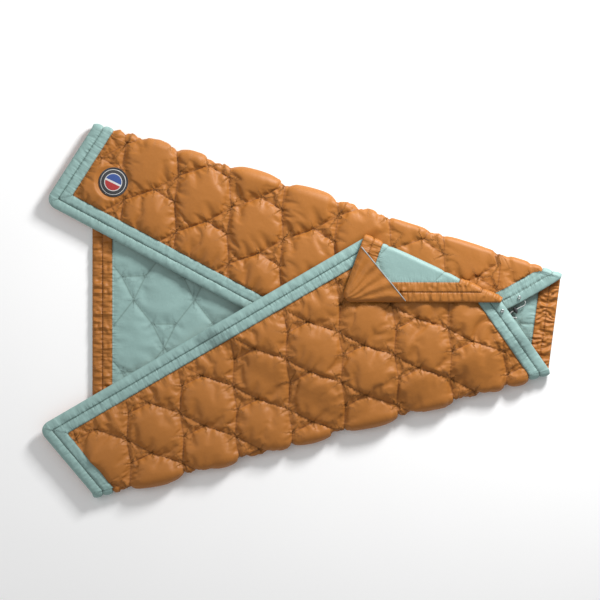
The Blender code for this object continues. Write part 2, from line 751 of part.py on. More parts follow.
def recentre(builder):
    """Put the origin at the middle of the footprint, at ground level."""
    bpy.context.view_layer.update()
    depsgraph = bpy.context.evaluated_depsgraph_get()
    corners = []
    for thing in builder.parts.objects:
        if thing.type == "MESH":
            evaluated = thing.evaluated_get(depsgraph)
            corners += [evaluated.matrix_world @ Vector(corner) for corner in evaluated.bound_box]
    shift = Vector((
        -(min(c.x for c in corners) + max(c.x for c in corners)) / 2,
        -(min(c.y for c in corners) + max(c.y for c in corners)) / 2,
        0.0,
    ))
    builder.bodies["back"].location += shift
    for thing in builder.cutters.objects:
        thing.location += shift


def main():
    for thing in list(bpy.data.objects):
        bpy.data.objects.remove(thing)
    builder = Builder()
    plan = builder.plan
    fold = FOLD_RADIUS
    builder.body("back", Vector((0.0, 0.0, 0.0)))
    builder.body("left_flap", plan.left_hem.to_3d() + Vector((0, 0, fold)), "back")
    builder.body("right_flap", plan.right_hem.to_3d() + Vector((0, 0, fold)), "back")
    builder.body("lapel", plan.crease_side.to_3d() + Vector((0, 0, 2 * PITCH + fold)), "right_flap")
    lock_place = cord_route(plan)[LOCK_POINT]
    builder.body("cord_lock", lock_place, "left_flap")
    builder.body("plunger", lock_place, "cord_lock")
    make_back(builder)
    make_left_flap(builder)
    make_right_flap(builder)
    make_lapel(builder)
    make_neck_cords(builder)
    make_drawcord(builder)
    make_lock(builder)
    make_patch(builder)
    make_eyelets(builder)
    recentre(builder)


main()
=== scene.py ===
"""Looks of a quilted camp blanket that lies folded as a wrap: two flaps turned over the back,
a lapel with a hand pocket, and a drawcord with a cord lock at the neck."""
import json
import math

import bmesh
import bpy
import numpy as np
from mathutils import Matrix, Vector


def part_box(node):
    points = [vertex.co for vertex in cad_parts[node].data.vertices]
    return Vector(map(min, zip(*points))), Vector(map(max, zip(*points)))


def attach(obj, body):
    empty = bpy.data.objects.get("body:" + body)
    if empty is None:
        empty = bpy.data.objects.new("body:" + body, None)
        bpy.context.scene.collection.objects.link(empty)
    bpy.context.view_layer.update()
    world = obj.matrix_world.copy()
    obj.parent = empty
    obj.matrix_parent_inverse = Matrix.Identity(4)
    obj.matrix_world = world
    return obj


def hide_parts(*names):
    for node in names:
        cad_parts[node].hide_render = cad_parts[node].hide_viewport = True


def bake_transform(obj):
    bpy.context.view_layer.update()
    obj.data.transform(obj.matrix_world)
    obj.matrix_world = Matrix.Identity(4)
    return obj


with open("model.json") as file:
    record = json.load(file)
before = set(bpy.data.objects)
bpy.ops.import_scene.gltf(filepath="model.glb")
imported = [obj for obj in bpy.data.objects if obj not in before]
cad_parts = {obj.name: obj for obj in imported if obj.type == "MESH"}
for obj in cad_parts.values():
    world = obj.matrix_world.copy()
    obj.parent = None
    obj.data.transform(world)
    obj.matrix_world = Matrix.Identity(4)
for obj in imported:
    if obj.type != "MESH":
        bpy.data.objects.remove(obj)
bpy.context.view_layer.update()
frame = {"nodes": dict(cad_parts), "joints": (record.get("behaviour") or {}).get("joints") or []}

JOINTS = {joint["name"]: joint for joint in frame["joints"]}

bl_info = {
    "name": "Camp Blanket Looks",
    "version": (1, 0, 0),
    "blender": (4, 5, 0),
    "location": "View3D > Sidebar > Camp Blanket",
    "description": "Builds the quilts, pocket, cord and patch of a folded camp blanket",
    "category": "Object",
}

Z = np.array((0.0, 0.0, 1.0))
ALL_ROWS = slice(None)
THREADBARE = 0.0004          # half the thickness of a quilt at its sewn edge, m
FAR_OFF = 9.0                # farther than any seam is from anything, m
SEAM_SHADE_WIDTH = 0.004         # width of the painted shade beside a seam, m
THREAD_HALF = 0.0007         # half the width of a line of stitches, m
STITCHES = 350.0             # in a metre of seam
STITCH_SHARE = 0.72          # of a seam that its thread covers
KNOT_CLEARANCE = 0.0004      # between the knot and the back, m
KNOT_TURNS = 1.6             # of the cord in its knot
KNOT_STEPS = 36              # of its turns
FRAMES = 15                  # of cloth simulation
LAPEL_REACH = 0.985          # of its triangle that its last column reaches
CELL_SOFTNESS = 0.016        # over which a pressed cell rises from its seams, m
LAPEL_PRESS = 0.0093         # height of the lapel's shell, which lies underneath, m
LAPEL_PUFF = 0.0115          # greatest height of its lining, m
POCKET_BED = 0.0070          # height of its lining under the pocket, m
SHELL_AIR = (1.3, 0.13)      # pressure inside the cloth, and share by which it is cut larger
LINING_AIR = (0.55, 0.035)
LAPEL_AIR = (2.2, 0.06)
SLIP = 0.0065                # greatest move of the cloth in its own plane, m
CHANNEL_RISE = 0.0125        # of a border channel over its seams, m
CHANNEL_SHARE = 0.65         # of a border channel that has this plain shape
VIEW_WIDTH = 1.8             # that the camera takes in at the blanket's height, m


# ---- sizes and colours -------------------------------------------------------------------
def metres(name, description, default):
    return bpy.props.FloatProperty(
        name=name, description=description, default=default, unit="LENGTH")


def degrees(name, description, default):
    return bpy.props.FloatProperty(
        name=name, description=description, default=math.radians(default),
        subtype="ANGLE")


def tint(name, description, default):
    return bpy.props.FloatVectorProperty(
        name=name, description=description, default=default, size=3, min=0, max=1,
        subtype="COLOR")


class QuiltSizes(bpy.types.PropertyGroup):
    """Sizes of the folded quilt, as the frame has them."""
    left_hem_edge: metres("Left Hem Edge", "Hem of the left flap, from fold to corner", 0.267)
    left_hem_angle: degrees("Left Hem Angle", "Between the left fold and the flap's hem", 104.8)
    left_side_edge: metres("Left Side Edge", "Side of the left flap, from hem to neck", 1.030)
    left_side_angle: degrees("Left Side Angle", "Between the left fold and the flap's side", 10.2)
    left_neck_bow: metres("Left Neck Bow", "How far the left flap's neck edge bows out", 0.034)
    right_hem_edge: metres("Right Hem Edge", "Hem of the right flap, from fold to corner", 0.256)
    right_hem_angle: degrees("Right Hem Angle", "Between the right fold and the flap's hem", 115.0)
    right_side_angle: degrees(
        "Right Side Angle", "Between the right fold and the flap's side", 15.0)
    lapel_side: metres("Lapel Side", "Side edge of the lapel", 0.203)
    lapel_angle: degrees("Lapel Angle", "Between the lapel's crease and its side edge", 85.0)
    loft: metres("Loft", "Thickness of one layer", 0.020)
    pitch: metres("Pitch", "Height from one layer to the next", 0.0203)
    border: metres("Border", "Width of the two channels along an edge", 0.060)
    corner: metres("Corner", "Radius of the quilt's corners", 0.036)
    drape_margin: metres("Drape Margin", "Reach of the lifted part past the left flap", 0.075)
    drape_run: metres("Drape Run", "Length over which the right flap comes down", 0.090)
    cell: metres("Cell", "Width of a quilting cell", 0.1836)
    row: metres("Row", "Height of a quilting row", 0.144)
    pocket_side: metres("Pocket Side", "Reach of the pocket along the lapel's side edge", 0.179)
    pocket_neck: metres("Pocket Neck", "Reach of the pocket along the lapel's neck edge", 0.198)
    cord: metres("Cord", "Diameter of the drawcord", 0.0026)
    cord_exit: bpy.props.FloatProperty(
        name="Cord Exit", description="Place along the left flap's neck edge, from 0 to 1",
        default=0.80)
    knot: metres("Knot", "Radius of the drawcord's knot", 0.0026)
    eyelet_rise: metres("Eyelet Rise", "Height of the eyelets over the flat channel", 0.0006)
    patch: metres("Patch", "Radius of the round patch", 0.0445)
    patch_rim: metres("Patch Rim", "Width of the patch's merrowed edge", 0.0042)
    puff: metres("Puff", "Height of a free cell over its seams", 0.0300)
    press: metres("Pressed Puff", "Height of a cell that lies on another layer", 0.0096)


class FabricColours(bpy.types.PropertyGroup):
    """Colours of the fabrics and trims."""
    brown: tint("Brown Nylon", "Shell fabric", (0.380, 0.137, 0.021))
    teal: tint("Teal Nylon", "Lining and border fabric", (0.25, 0.385, 0.36))
    thread_brown: tint("Brown Thread", "Stitches on brown", (0.28, 0.097, 0.016))
    thread_teal: tint("Teal Thread", "Stitches on teal", (0.18, 0.29, 0.27))
    cord: tint("Cord", "Braided drawcord", (0.55, 0.57, 0.56))
    tape: tint("Tape", "Tape along the pocket's mouth", (0.42, 0.44, 0.43))
    metal: tint("Metal", "Eyelets and spring", (0.50, 0.52, 0.52))
    lock: tint("Lock", "Barrel of the cord lock", (0.022, 0.023, 0.026))
    button: tint("Button", "Button of the cord lock", (0.05, 0.052, 0.055))
    patch_edge: tint("Patch Edge", "Merrowed edge of the patch", (0.018, 0.018, 0.022))
    patch_ring: tint("Patch Ring", "Outer ring of the patch", (0.035, 0.035, 0.04))
    patch_pale: tint("Patch Pale", "Pale thread of the patch", (0.72, 0.72, 0.70))
    patch_warm: tint("Patch Warm", "Warm half of the patch", (0.45, 0.03, 0.03))
    patch_cool: tint("Patch Cool", "Cool half of the patch", (0.03, 0.08, 0.30))


# ---- plane geometry ----------------------------------------------------------------------
def unit(vector):
    return vector / np.linalg.norm(vector)


def cross(a, b):
    return a[..., 0] * b[..., 1] - a[..., 1] * b[..., 0]


def meet(point, way, other, other_way):
    """Where two lines meet."""
    return point + way * cross(other - point, other_way) / cross(way, other_way)


def square_to(way, towards):
    """Unit vector square to way, on the side that towards points to."""
    normal = np.array((-way[1], way[0]))
    return normal if normal @ towards > 0 else -normal


def smooth(x):
    x = np.clip(x, 0.0, 1.0)
    return x * x * (3 - 2 * x)


def noise(x, y, size, seed):
    """Smooth noise from -1 to 1 with bumps about size across."""
    table = np.random.default_rng(seed).uniform(-1, 1, (64, 64))
    gx = x / size
    gy = y / size
    ix = np.floor(gx).astype(int)
    iy = np.floor(gy).astype(int)
    fx = smooth(gx - ix)
    fy = smooth(gy - iy)

    def value(i, j):
        return table[(ix + i) % 64, (iy + j) % 64]

    low = value(0, 0) * (1 - fx) + value(1, 0) * fx
    high = value(0, 1) * (1 - fx) + value(1, 1) * fx
    return low * (1 - fy) + high * fy


class Line:
    """A straight free edge, its inside on the given side."""

    def __init__(self, start, end, inside):
        self.start = start
        self.way = unit(end - start)
        self.length = np.linalg.norm(end - start)
        self.normal = square_to(self.way, inside - start)

    def inset(self, distance):
        """A point and the way of the line moved inside by distance."""
        return self.start + self.normal * distance, self.way

    def distance(self, points):
        return (points - self.start) @ self.normal

    def along(self, points):
        return (points - self.start) @ self.way


def nearest_edge(edges, points):
    """Distance of each point from the nearest edge, and its place along that edge."""
    away = np.stack([edge.distance(points) for edge in edges])
    along = np.stack([edge.along(points) + 2.0 * index for index, edge in enumerate(edges)])
    nearest = away.argmin(axis=0)[None]
    return np.take_along_axis(away, nearest, 0)[0], np.take_along_axis(along, nearest, 0)[0]


def channel_steps(width):
    """Distances across one padded channel, closer at its seams."""
    shares = (0, 0.04, 0.12, 0.24, 0.38, 0.5, 0.62, 0.76, 0.88, 0.96)
    return [share * width for share in shares]


def border_steps(border):
    half = border / 2
    first = channel_steps(half)
    return np.array(first + [half + step for step in first] + [border])


# ---- the folded quilt's panels -------------------------------------------------------------
class Layout:
    """Fold lines, crease and corners in the frame's own coordinates."""

    def __init__(self, sizes):
        self.sizes = sizes
        self.left = self.fold("left_flap_fold", "left_fold")
        self.right = self.fold("right_flap_fold", "right_fold")
        self.crease = self.fold("lapel_fold", "lapel_fold", -1)
        middle_hem = (self.left[0] + self.right[0]) / 2
        middle_neck = (self.left[1] + self.right[1]) / 2
        self.middle = (middle_hem, middle_neck)
        self.hinge = JOINTS["left_flap_fold"]["pos_m"][2]
        self.crease_height = JOINTS["lapel_fold"]["pos_m"][2]

    def fold(self, joint, node, sense=1):
        """Ends of a fold line: the joint's place, and as far as the node reaches along it."""
        start = np.array(JOINTS[joint]["pos_m"][:2])
        way = unit(np.array(JOINTS[joint]["axis"][:2])) * sense
        node_points = np.array([vertex.co[:2] for vertex in frame["nodes"][node].data.vertices])
        return start, start + way * max((node_points - start) @ way, key=abs)


def rounded_corner(points, first, second, radius):
    """Points near the corner of two edges moved so that the edge turns in an arc."""
    a = first.distance(points)
    b = second.distance(points)
    inside = (a < radius) & (b < radius)
    way_first = first.way if first.way @ second.normal > 0 else -first.way
    way_second = second.way if second.way @ first.normal > 0 else -second.way
    x = 1 - a / radius
    y = 1 - b / radius
    new_a = radius * (1 - x * np.sqrt(np.clip(1 - y * y / 2, 0, 1)))
    new_b = radius * (1 - y * np.sqrt(np.clip(1 - x * x / 2, 0, 1)))
    step_a = np.where(inside, new_a - a, 0.0)[..., None]
    step_b = np.where(inside, new_b - b, 0.0)[..., None]
    return (points + step_a * way_second / (way_second @ first.normal)
            + step_b * way_first / (way_first @ second.normal))


def quilting(flat, sizes):
    """Signed distance from the nearest quilting seam, and the distance along it.

    Each row of seams runs down from an apex, level, and up to the next apex; two short seams
    join the level stretch to the apex of the row below.
    """
    cell = sizes.cell
    row = sizes.row
    level = 0.39 * cell
    reach = (cell - level) / 2
    drop = row / 2
    segments = (
        ((0, 0), (-reach, -drop)),
        ((0, 0), (reach, -drop)),
        ((reach, -drop), (reach + level, -drop)),
        ((reach, -drop), (cell / 2, -row)),
        ((reach + level, -drop), (cell / 2, -row)),
    )
    origin = np.array((0.0414, 0.0315))
    x = flat[..., 0] - origin[0]
    y = flat[..., 1] - origin[1]
    nearest = np.full(x.shape, 9.0)
    signed = np.full(x.shape, 9.0)
    along = np.zeros(x.shape)
    base = np.ceil(y / row)
    for step in (0, 1, -1):
        index = base + step
        shift = np.where(index % 2 == 0, 0.0, cell / 2)
        local_y = y - index * row
        local_x = x - shift
        local_x = local_x - np.round(local_x / cell) * cell
        for lap in (-cell, 0.0, cell):
            for number, (start, end) in enumerate(segments):
                start = np.array(start)
                way = np.array(end) - start
                length = np.linalg.norm(way)
                way = way / length
                dx = local_x + lap - start[0]
                dy = local_y - start[1]
                run = dx * way[0] + dy * way[1]
                off = np.clip(run, 0, length)
                distance = np.hypot(dx - off * way[0], dy - off * way[1])
                side = way[0] * dy - way[1] * dx
                closer = distance < nearest
                nearest = np.where(closer, distance, nearest)
                signed = np.where(closer, np.where(side < 0, -distance, distance), signed)
                along = np.where(closer, off + number, along)
    return signed, along


def border_ends(line, offsets, start, way):
    """Where lines along an edge, each its offset inside it, meet the line from start."""
    return [meet(*line.inset(offset), start, way) for offset in offsets]


def column_ends(hem, neck, fields):
    """Ends of the columns: those of both borders, and the field's evenly between them."""
    middle = [hem[-1] + (neck[0] - hem[-1]) * step / fields for step in range(1, fields)]
    return np.array(hem + middle + neck)


def field_rows(near, far, edge, offsets, count, least, most):
    """Rows of points from near to far, the last of them in step with the edge's channels."""
    reach = np.linalg.norm(far - near, axis=1)[:, None]
    lean = 1 / np.clip(unit_rows(near - far) @ edge.normal, least, 1)
    steps = np.minimum(offsets[::-1][None] * lean[:, None], reach * most)
    shares = np.linspace(0, 1, count + 1)[None, :-1]
    lengths = np.concatenate([(reach - steps[:, :1]) * shares, reach - steps], axis=1)
    return near[:, None] + ((far - near) / reach)[:, None] * lengths[..., None]


def roll_axes(n, turn):
    """Outward and across directions of a sheet that has turned over a fold."""
    sine = np.sin(turn)[..., None]
    cosine = np.cos(turn)[..., None]
    level = np.array((*n, 0.0))
    return -level * cosine + Z * sine, level * sine + Z * cosine


class Quilt:
    """One side of the blanket: half of the back, the fold roll and the flap turned over it."""

    BACK_ROWS = 84
    FOLD_ROWS = 11
    FLAP_ROWS = 78
    FIELD_COLUMNS = 210

    def __init__(self, layout, side):
        sizes = layout.sizes
        self.sizes = sizes
        self.side = side
        self.layout = layout
        hem_start, neck_end = getattr(layout, side)
        self.fold = (hem_start, neck_end)
        self.origin = hem_start
        self.e = unit(neck_end - hem_start)
        centre = (layout.middle[0] + layout.middle[1]) / 2
        self.n = square_to(self.e, centre - hem_start)
        self.hinge = layout.hinge
        self.make_corners()
        self.make_grid()

    def place(self, s, t):
        return self.fold[0] + s * self.e + t * self.n

    def direction(self, angle):
        return math.cos(angle) * self.e + math.sin(angle) * self.n

    def make_corners(self):
        sizes = self.sizes
        inside = self.place(0.6, 0.15)
        left = self.side == "left"
        hem_edge = sizes.left_hem_edge if left else sizes.right_hem_edge
        hem_angle = sizes.left_hem_angle if left else sizes.right_hem_angle
        side_angle = sizes.left_side_angle if left else sizes.right_side_angle
        self.corner = self.fold[0] + hem_edge * self.direction(hem_angle)
        way = self.direction(side_angle)
        if left:
            self.tip = self.corner + sizes.left_side_edge * way
            self.neck_edge = Line(self.tip, self.fold[1], inside)
        else:
            self.tip = self.layout.crease[0]
            self.neck_edge = Line(self.fold[1], self.layout.crease[1], inside)
        self.hem_edge = Line(self.fold[0], self.corner, inside)
        self.side_edge = Line(self.corner, self.tip, inside)
        back_inside = (self.layout.middle[0] + self.layout.middle[1]) / 2
        self.back_hem = Line(self.layout.left[0], self.layout.right[0], back_inside)
        self.back_neck = Line(self.layout.left[1], self.layout.right[1], back_inside)

    def make_grid(self):
        """Plan of the grid's points, and how far each has turned: back, roll, then flap."""
        offsets = border_steps(self.sizes.border)
        start, end = self.layout.middle
        centre, fold = (
            column_ends(border_ends(self.back_hem, offsets, point, way),
                        border_ends(self.back_neck, offsets[::-1], point, way),
                        self.FIELD_COLUMNS)
            for point, way in ((start, unit(end - start)), (self.fold[0], self.e)))
        share = np.linspace(0, 1, self.BACK_ROWS)[None, :, None]
        back = centre[:, None] * (1 - share) + fold[:, None] * share
        roll = np.repeat(fold[:, None], self.FOLD_ROWS, axis=1)
        flap = field_rows(fold, self.far_ends(offsets), self.side_edge, offsets,
                          self.FLAP_ROWS, 0.5, 0.75)
        self.plan = np.concatenate([back, roll, flap], axis=1)
        self.first_flap = self.BACK_ROWS + self.FOLD_ROWS
        turns = np.linspace(-math.pi / 2, math.pi / 2, self.FOLD_ROWS + 2)[1:-1]
        turn = np.concatenate([np.full(self.BACK_ROWS, -math.pi / 2), turns,
                               np.full(flap.shape[1], math.pi / 2)])
        self.turn = np.repeat(turn[None], len(fold), axis=0)
        self.measure()
        self.shape()

    def far_ends(self, offsets):
        """Where the columns end: on the side edge, and on the right on the crease after it."""
        fields = self.FIELD_COLUMNS
        hem = border_ends(self.hem_edge, offsets, self.corner, self.side_edge.way)
        if self.side == "left":
            neck = border_ends(self.neck_edge, offsets[::-1], self.tip, self.side_edge.way)
            return column_ends(hem, neck, fields)
        crease, crease_end = self.layout.crease
        neck = border_ends(self.neck_edge, offsets[::-1], crease, unit(crease_end - crease))
        start = (hem[-1] - self.fold[0]) @ self.e
        bend = (crease - self.fold[0]) @ self.e
        end = (neck[0] - self.fold[0]) @ self.e
        turn_column = round(fields * (bend - start) / (end - start))
        middle = []
        for step in range(1, fields):
            if step <= turn_column:
                middle.append(hem[-1] + (crease - hem[-1]) * step / turn_column)
            else:
                share = (step - turn_column) / (fields - turn_column)
                middle.append(crease + (neck[0] - crease) * share)
        return np.array(hem + middle + neck)

    def measure(self):
        """Distances from free edges, and the place on the spread-out blanket."""
        plan = self.plan
        on_back = np.zeros(plan.shape[:2], bool)
        on_back[:, :self.BACK_ROWS] = True
        roll = np.zeros(plan.shape[:2], bool)
        roll[:, self.BACK_ROWS:self.first_flap] = True
        back_edges = (self.back_hem, self.back_neck)
        flap_edges = [self.hem_edge, self.side_edge, self.neck_edge]
        self.edge = np.zeros(plan.shape[:2])
        self.run = np.zeros(plan.shape[:2])
        for mask, edges in ((on_back | roll, back_edges), (~(on_back | roll), flap_edges)):
            away, along = nearest_edge(edges, plan)
            self.edge = np.where(mask, away, self.edge)
            self.run = np.where(mask, along, self.run)
        offset = plan - self.fold[0]
        s = offset @ self.e
        t = offset @ self.n
        radius = self.hinge / 2
        arc = np.where(on_back, 0.0, (self.turn + math.pi / 2) * radius)
        outward = np.where(on_back, -t, np.where(roll, 0.0, t)) + arc
        self.flat = self.fold[0] + s[..., None] * self.e - outward[..., None] * self.n
        self.seam, self.seam_run = self.pattern(s, outward, self.flat)

    def pattern(self, s, outward, flat):
        """Quilting, which on each flap sits a little off the straight run of the back's."""
        ramp = smooth((outward + 0.15) / 0.15)
        reach = np.maximum(outward, 0.0)
        if self.side == "left":
            moved = np.stack([ramp * 0.003, ramp * (0.0405 + 0.078 * s)], axis=-1)
        else:
            moved = np.stack([ramp * (0.0115 + 0.155 * reach),
                              -ramp * (0.0085 + 0.047 * s + 0.06 * reach)], axis=-1)
        return quilting(flat + moved, self.sizes)

    def quilting_at(self, plan):
        """Quilting at places in the plane of the flap, also beyond its crease."""
        offset = plan - self.origin
        s = offset @ self.e
        outward = offset @ self.n + math.pi * self.hinge / 2
        flat = self.origin + s[..., None] * self.e - outward[..., None] * self.n
        return self.pattern(s, outward, flat)

    def shape(self):
        """Places of the middle surface and its normals."""
        sizes = self.sizes
        plan = self.plan.copy()
        flap = slice(self.first_flap, None)
        if self.side == "left":
            chord = self.neck_edge
            share = np.clip(chord.along(plan[:, flap]) / chord.length, 0, 1)
            away = chord.distance(plan[:, flap])
            bow = 4 * sizes.left_neck_bow * share * (1 - share) * (1 - smooth((away - 0.06) / 0.3))
            plan[:, flap] -= bow[..., None] * chord.normal
            plan[:, flap] = rounded_corner(plan[:, flap], self.side_edge, self.neck_edge,
                                           sizes.corner)
        plan[:, flap] = rounded_corner(plan[:, flap], self.hem_edge, self.side_edge, sizes.corner)
        radius = self.hinge / 2
        self.normal, self.across = roll_axes(self.n, self.turn)
        self.lift = np.full(plan.shape[:2], self.hinge)
        if self.side == "right":
            lifted = drape(self.layout, plan) - sizes.pitch
            lifted[:, :self.first_flap] = 0
            self.lift = self.lift + lifted
        self.middle = np.concatenate([plan, self.lift[..., None]], axis=-1) + radius * self.normal


def unit_rows(vectors):
    return vectors / np.linalg.norm(vectors, axis=-1, keepdims=True)


def drape(layout, points):
    """Height of the right flap's underside over the back and the left flap."""
    sizes = layout.sizes
    left = left_outline(layout)
    furthest = np.full(points.shape[:-1], -1.0)
    for start, end in zip(left, left[1:]):
        way = unit(end - start)
        furthest = np.maximum(furthest, cross(points - start, way))
    share = (furthest - sizes.drape_margin) / sizes.drape_run
    return sizes.pitch * (2 - smooth(share))


def left_outline(layout):
    """Side and bowed neck edge of the left flap."""
    sizes = layout.sizes
    start, end = layout.left
    e = unit(end - start)
    n = np.array((e[1], -e[0]))
    corner = start + sizes.left_hem_edge * (math.cos(sizes.left_hem_angle) * e
                                            + math.sin(sizes.left_hem_angle) * n)
    tip = corner + sizes.left_side_edge * (math.cos(sizes.left_side_angle) * e
                                           + math.sin(sizes.left_side_angle) * n)
    chord = end - tip
    out = unit(np.array((chord[1], -chord[0])))
    shares = np.linspace(0, 1, 7)
    bowed = [tip + share * chord + 4 * sizes.left_neck_bow * share * (1 - share) * out
             for share in shares]
    return [corner] + bowed


# ---- heights of the padded cells -----------------------------------------------------------
def tube(distance, width):
    """Half-round section of a padded channel, from 0 at its seams to 1."""
    share = np.clip((distance - width / 2) / (width / 2), -1, 1)
    return np.sqrt(1 - share * share)


def channels(edge, border):
    """Height of the two border channels, 0 inside the border line."""
    half = border / 2
    within = np.where(edge < half, tube(edge, half), tube(edge - half, half))
    return np.where(edge < border, within, 0.0)


def cells(seam, edge, border, soft):
    """Height of the quilted cells, from 0 at the seams to 1."""
    inside = np.clip(np.minimum(np.abs(seam), edge - border), 0, None)
    return np.where(edge > border, 1 - np.exp(-inside / soft), 0.0)


def ruched(run, edge, seed):
    """Close gathers across a border whose fabric is drawn up along its seams."""
    phase = run / 0.0200 + 1.3 * noise(run, edge, 0.032, seed)
    return np.sin(phase * math.tau) * 0.6 + noise(run, edge, 0.009, seed + 3) * 0.8


# ---- cloth simulation ----------------------------------------------------------------------
SCALE = 10.0                 # the solver works best on cloth about ten metres long


def billow(spread, start, held, pressure, growth):
    """How far the points of one fabric face move when its cells are blown up.

    spread is the place on the spread-out blanket (columns, rows, 2), start the height that the
    face has to begin with, and held marks the points on sewn lines. The fabric is cut larger
    than the flat cell by growth, so it gathers in along the seams.
    """
    columns, rows = held.shape
    mesh = grid_mesh("face", columns - 1, rows - 1)
    points = read_points(mesh)
    column = grid_index(points[:, 0], columns)
    row = grid_index(points[:, 1], rows)
    before = np.column_stack([spread[column, row], start[column, row]]) * SCALE
    write_points(mesh, before)
    thing = new_object("face", mesh)
    sewn = thing.vertex_groups.new(name="sewn")
    sewn.add([int(index) for index in np.flatnonzero(held[column, row])], 1.0, "REPLACE")
    cloth = thing.modifiers.new("Cloth", "CLOTH")
    fabric = cloth.settings
    fabric.quality = 4
    fabric.mass = 0.2
    fabric.tension_stiffness = 25
    fabric.compression_stiffness = 25
    fabric.shear_stiffness = 12
    fabric.bending_stiffness = 1.2
    fabric.tension_damping = 10
    fabric.compression_damping = 10
    fabric.use_pressure = True
    fabric.uniform_pressure_force = pressure
    fabric.shrink_min = -growth
    fabric.vertex_group_mass = "sewn"
    fabric.effector_weights.gravity = 0
    cloth.collision_settings.use_collision = False
    cloth.point_cache.frame_start = 1
    cloth.point_cache.frame_end = FRAMES
    scene = bpy.context.scene
    for frame_number in range(1, FRAMES + 1):
        scene.frame_set(frame_number)
    settled = thing.evaluated_get(bpy.context.evaluated_depsgraph_get()).to_mesh()
    after = read_points(settled)
    thing.to_mesh_clear()
    scene.frame_set(1)
    bpy.data.objects.remove(thing)
    bpy.data.meshes.remove(mesh)
    moved = np.zeros((columns, rows, 3))
    moved[column, row] = (after - before) / SCALE
    moved[column, row, 2] += start[column, row]
    return moved


def soft_cap(height, cap):
    """Height that rises freely at first and comes up to cap without a hard edge."""
    return cap * (1 - np.exp(-np.clip(height, 0, None) / cap))


def sewn_lines(panel):
    """Points of a panel's grid that its stitching holds."""
    border = panel.sizes.border
    hem = (panel.edge < 0.0008) | (np.abs(panel.edge - border / 2) < 0.0008)
    hem |= np.abs(panel.edge - border) < 0.0008
    return hem | ((panel.edge > border) & (np.abs(panel.seam) < 0.003))


def padded_face(panel, rows, side, cap, air):
    """Moves of one face of a panel: along the fold, across it, and out of its middle surface.
    """
    border = panel.sizes.border
    seam, edge = panel.seam[:, rows], panel.edge[:, rows]
    flat = panel.flat[:, rows]
    puffs = cells(seam, edge, border, 0.020)
    tubes = channels(edge, border)
    local = flat - panel.origin
    spread = np.stack([local @ panel.e, -(local @ panel.n)], axis=-1)
    unevenness = 0.0024 if side > 0 else 0.0008
    start = 0.004 * (puffs + tubes) + unevenness * puffs * noise(
        flat[..., 0], flat[..., 1], 0.032, 7)
    moved = billow(spread, start, sewn_lines(panel)[:, rows], *air)
    moved[..., :2] = SLIP * np.tanh(moved[..., :2] / SLIP)
    smoother = np.where(edge < border, CHANNEL_SHARE, 0.0)[..., None]
    moved = moved * (1 - smoother)
    moved[..., 2] += smoother[..., 0] * CHANNEL_RISE * tubes
    near = np.clip(np.minimum(np.abs(seam), edge - border), 0, None)
    rise = 0.0055 if side > 0 else 0.0020
    moved[..., 2] += np.where(edge > border, rise * (1 - np.exp(-near / 0.006)), 0.0)
    moved[..., 2] = soft_cap(moved[..., 2], cap)
    height = np.maximum(moved[..., 2], THREADBARE)
    along = np.array((*panel.e, 0.0))
    across = panel.across[:, rows]
    return (moved[..., :1] * along + moved[..., 1:2] * across
            + side * height[..., None] * panel.normal[:, rows])


# ---- meshes --------------------------------------------------------------------------------
def new_object(name, mesh):
    thing = bpy.data.objects.new(name, mesh)
    bpy.context.scene.collection.objects.link(thing)
    return thing


def grid_slab(columns, rows):
    """Closed slab of columns by rows points, and the column, row and side of each vertex."""
    bm = bmesh.new()
    bmesh.ops.create_grid(bm, x_segments=columns - 1, y_segments=rows - 1, size=1.0)
    raised = bmesh.ops.extrude_face_region(bm, geom=bm.faces[:], use_keep_orig=True)
    lifted = [item for item in raised["geom"] if isinstance(item, bmesh.types.BMVert)]
    bmesh.ops.translate(bm, verts=lifted, vec=(0.0, 0.0, 1.0))
    bmesh.ops.recalc_face_normals(bm, faces=bm.faces[:])
    mesh = bpy.data.meshes.new("slab")
    bm.to_mesh(mesh)
    bm.free()
    points = read_points(mesh)
    column = grid_index(points[:, 0], columns)
    row = grid_index(points[:, 1], rows)
    return mesh, column, row, points[:, 2] > 0.5


def grid_mesh(name, x_segments, y_segments, size=1.0):
    bm = bmesh.new()
    bmesh.ops.create_grid(bm, x_segments=x_segments, y_segments=y_segments, size=size)
    mesh = bpy.data.meshes.new(name)
    bm.to_mesh(mesh)
    bm.free()
    return mesh


def grid_index(values, count):
    """Which of count grid lines, spaced evenly from -1 to 1, each value lies on."""
    return np.rint((values + 1) / 2 * (count - 1)).astype(int)


def read_points(mesh):
    points = np.zeros(len(mesh.vertices) * 3, np.float32)
    mesh.vertices.foreach_get("co", points)
    return points.reshape(-1, 3).astype(float)


def write_points(mesh, points):
    mesh.vertices.foreach_set("co", points.astype(np.float32).ravel())
    mesh.update()


def facing_out(mesh):
    """Turns a closed mesh's faces outwards."""
    bm = bmesh.new()
    bm.from_mesh(mesh)
    if bm.calc_volume(signed=True) < 0:
        bmesh.ops.reverse_faces(bm, faces=bm.faces[:])
        bm.to_mesh(mesh)
    bm.free()


def store(mesh, name, values):
    layer = mesh.attributes.new(name, "FLOAT", "POINT")
    layer.data.foreach_set("value", values.astype(np.float32))


def store_map(mesh, flat):
    """UV map with the place on the spread-out blanket, in metres."""
    corners = np.zeros(len(mesh.loops), np.int32)
    mesh.loops.foreach_get("vertex_index", corners)
    layer = mesh.uv_layers.new(name="spread")
    layer.data.foreach_set("uv", flat[corners].astype(np.float32).ravel())


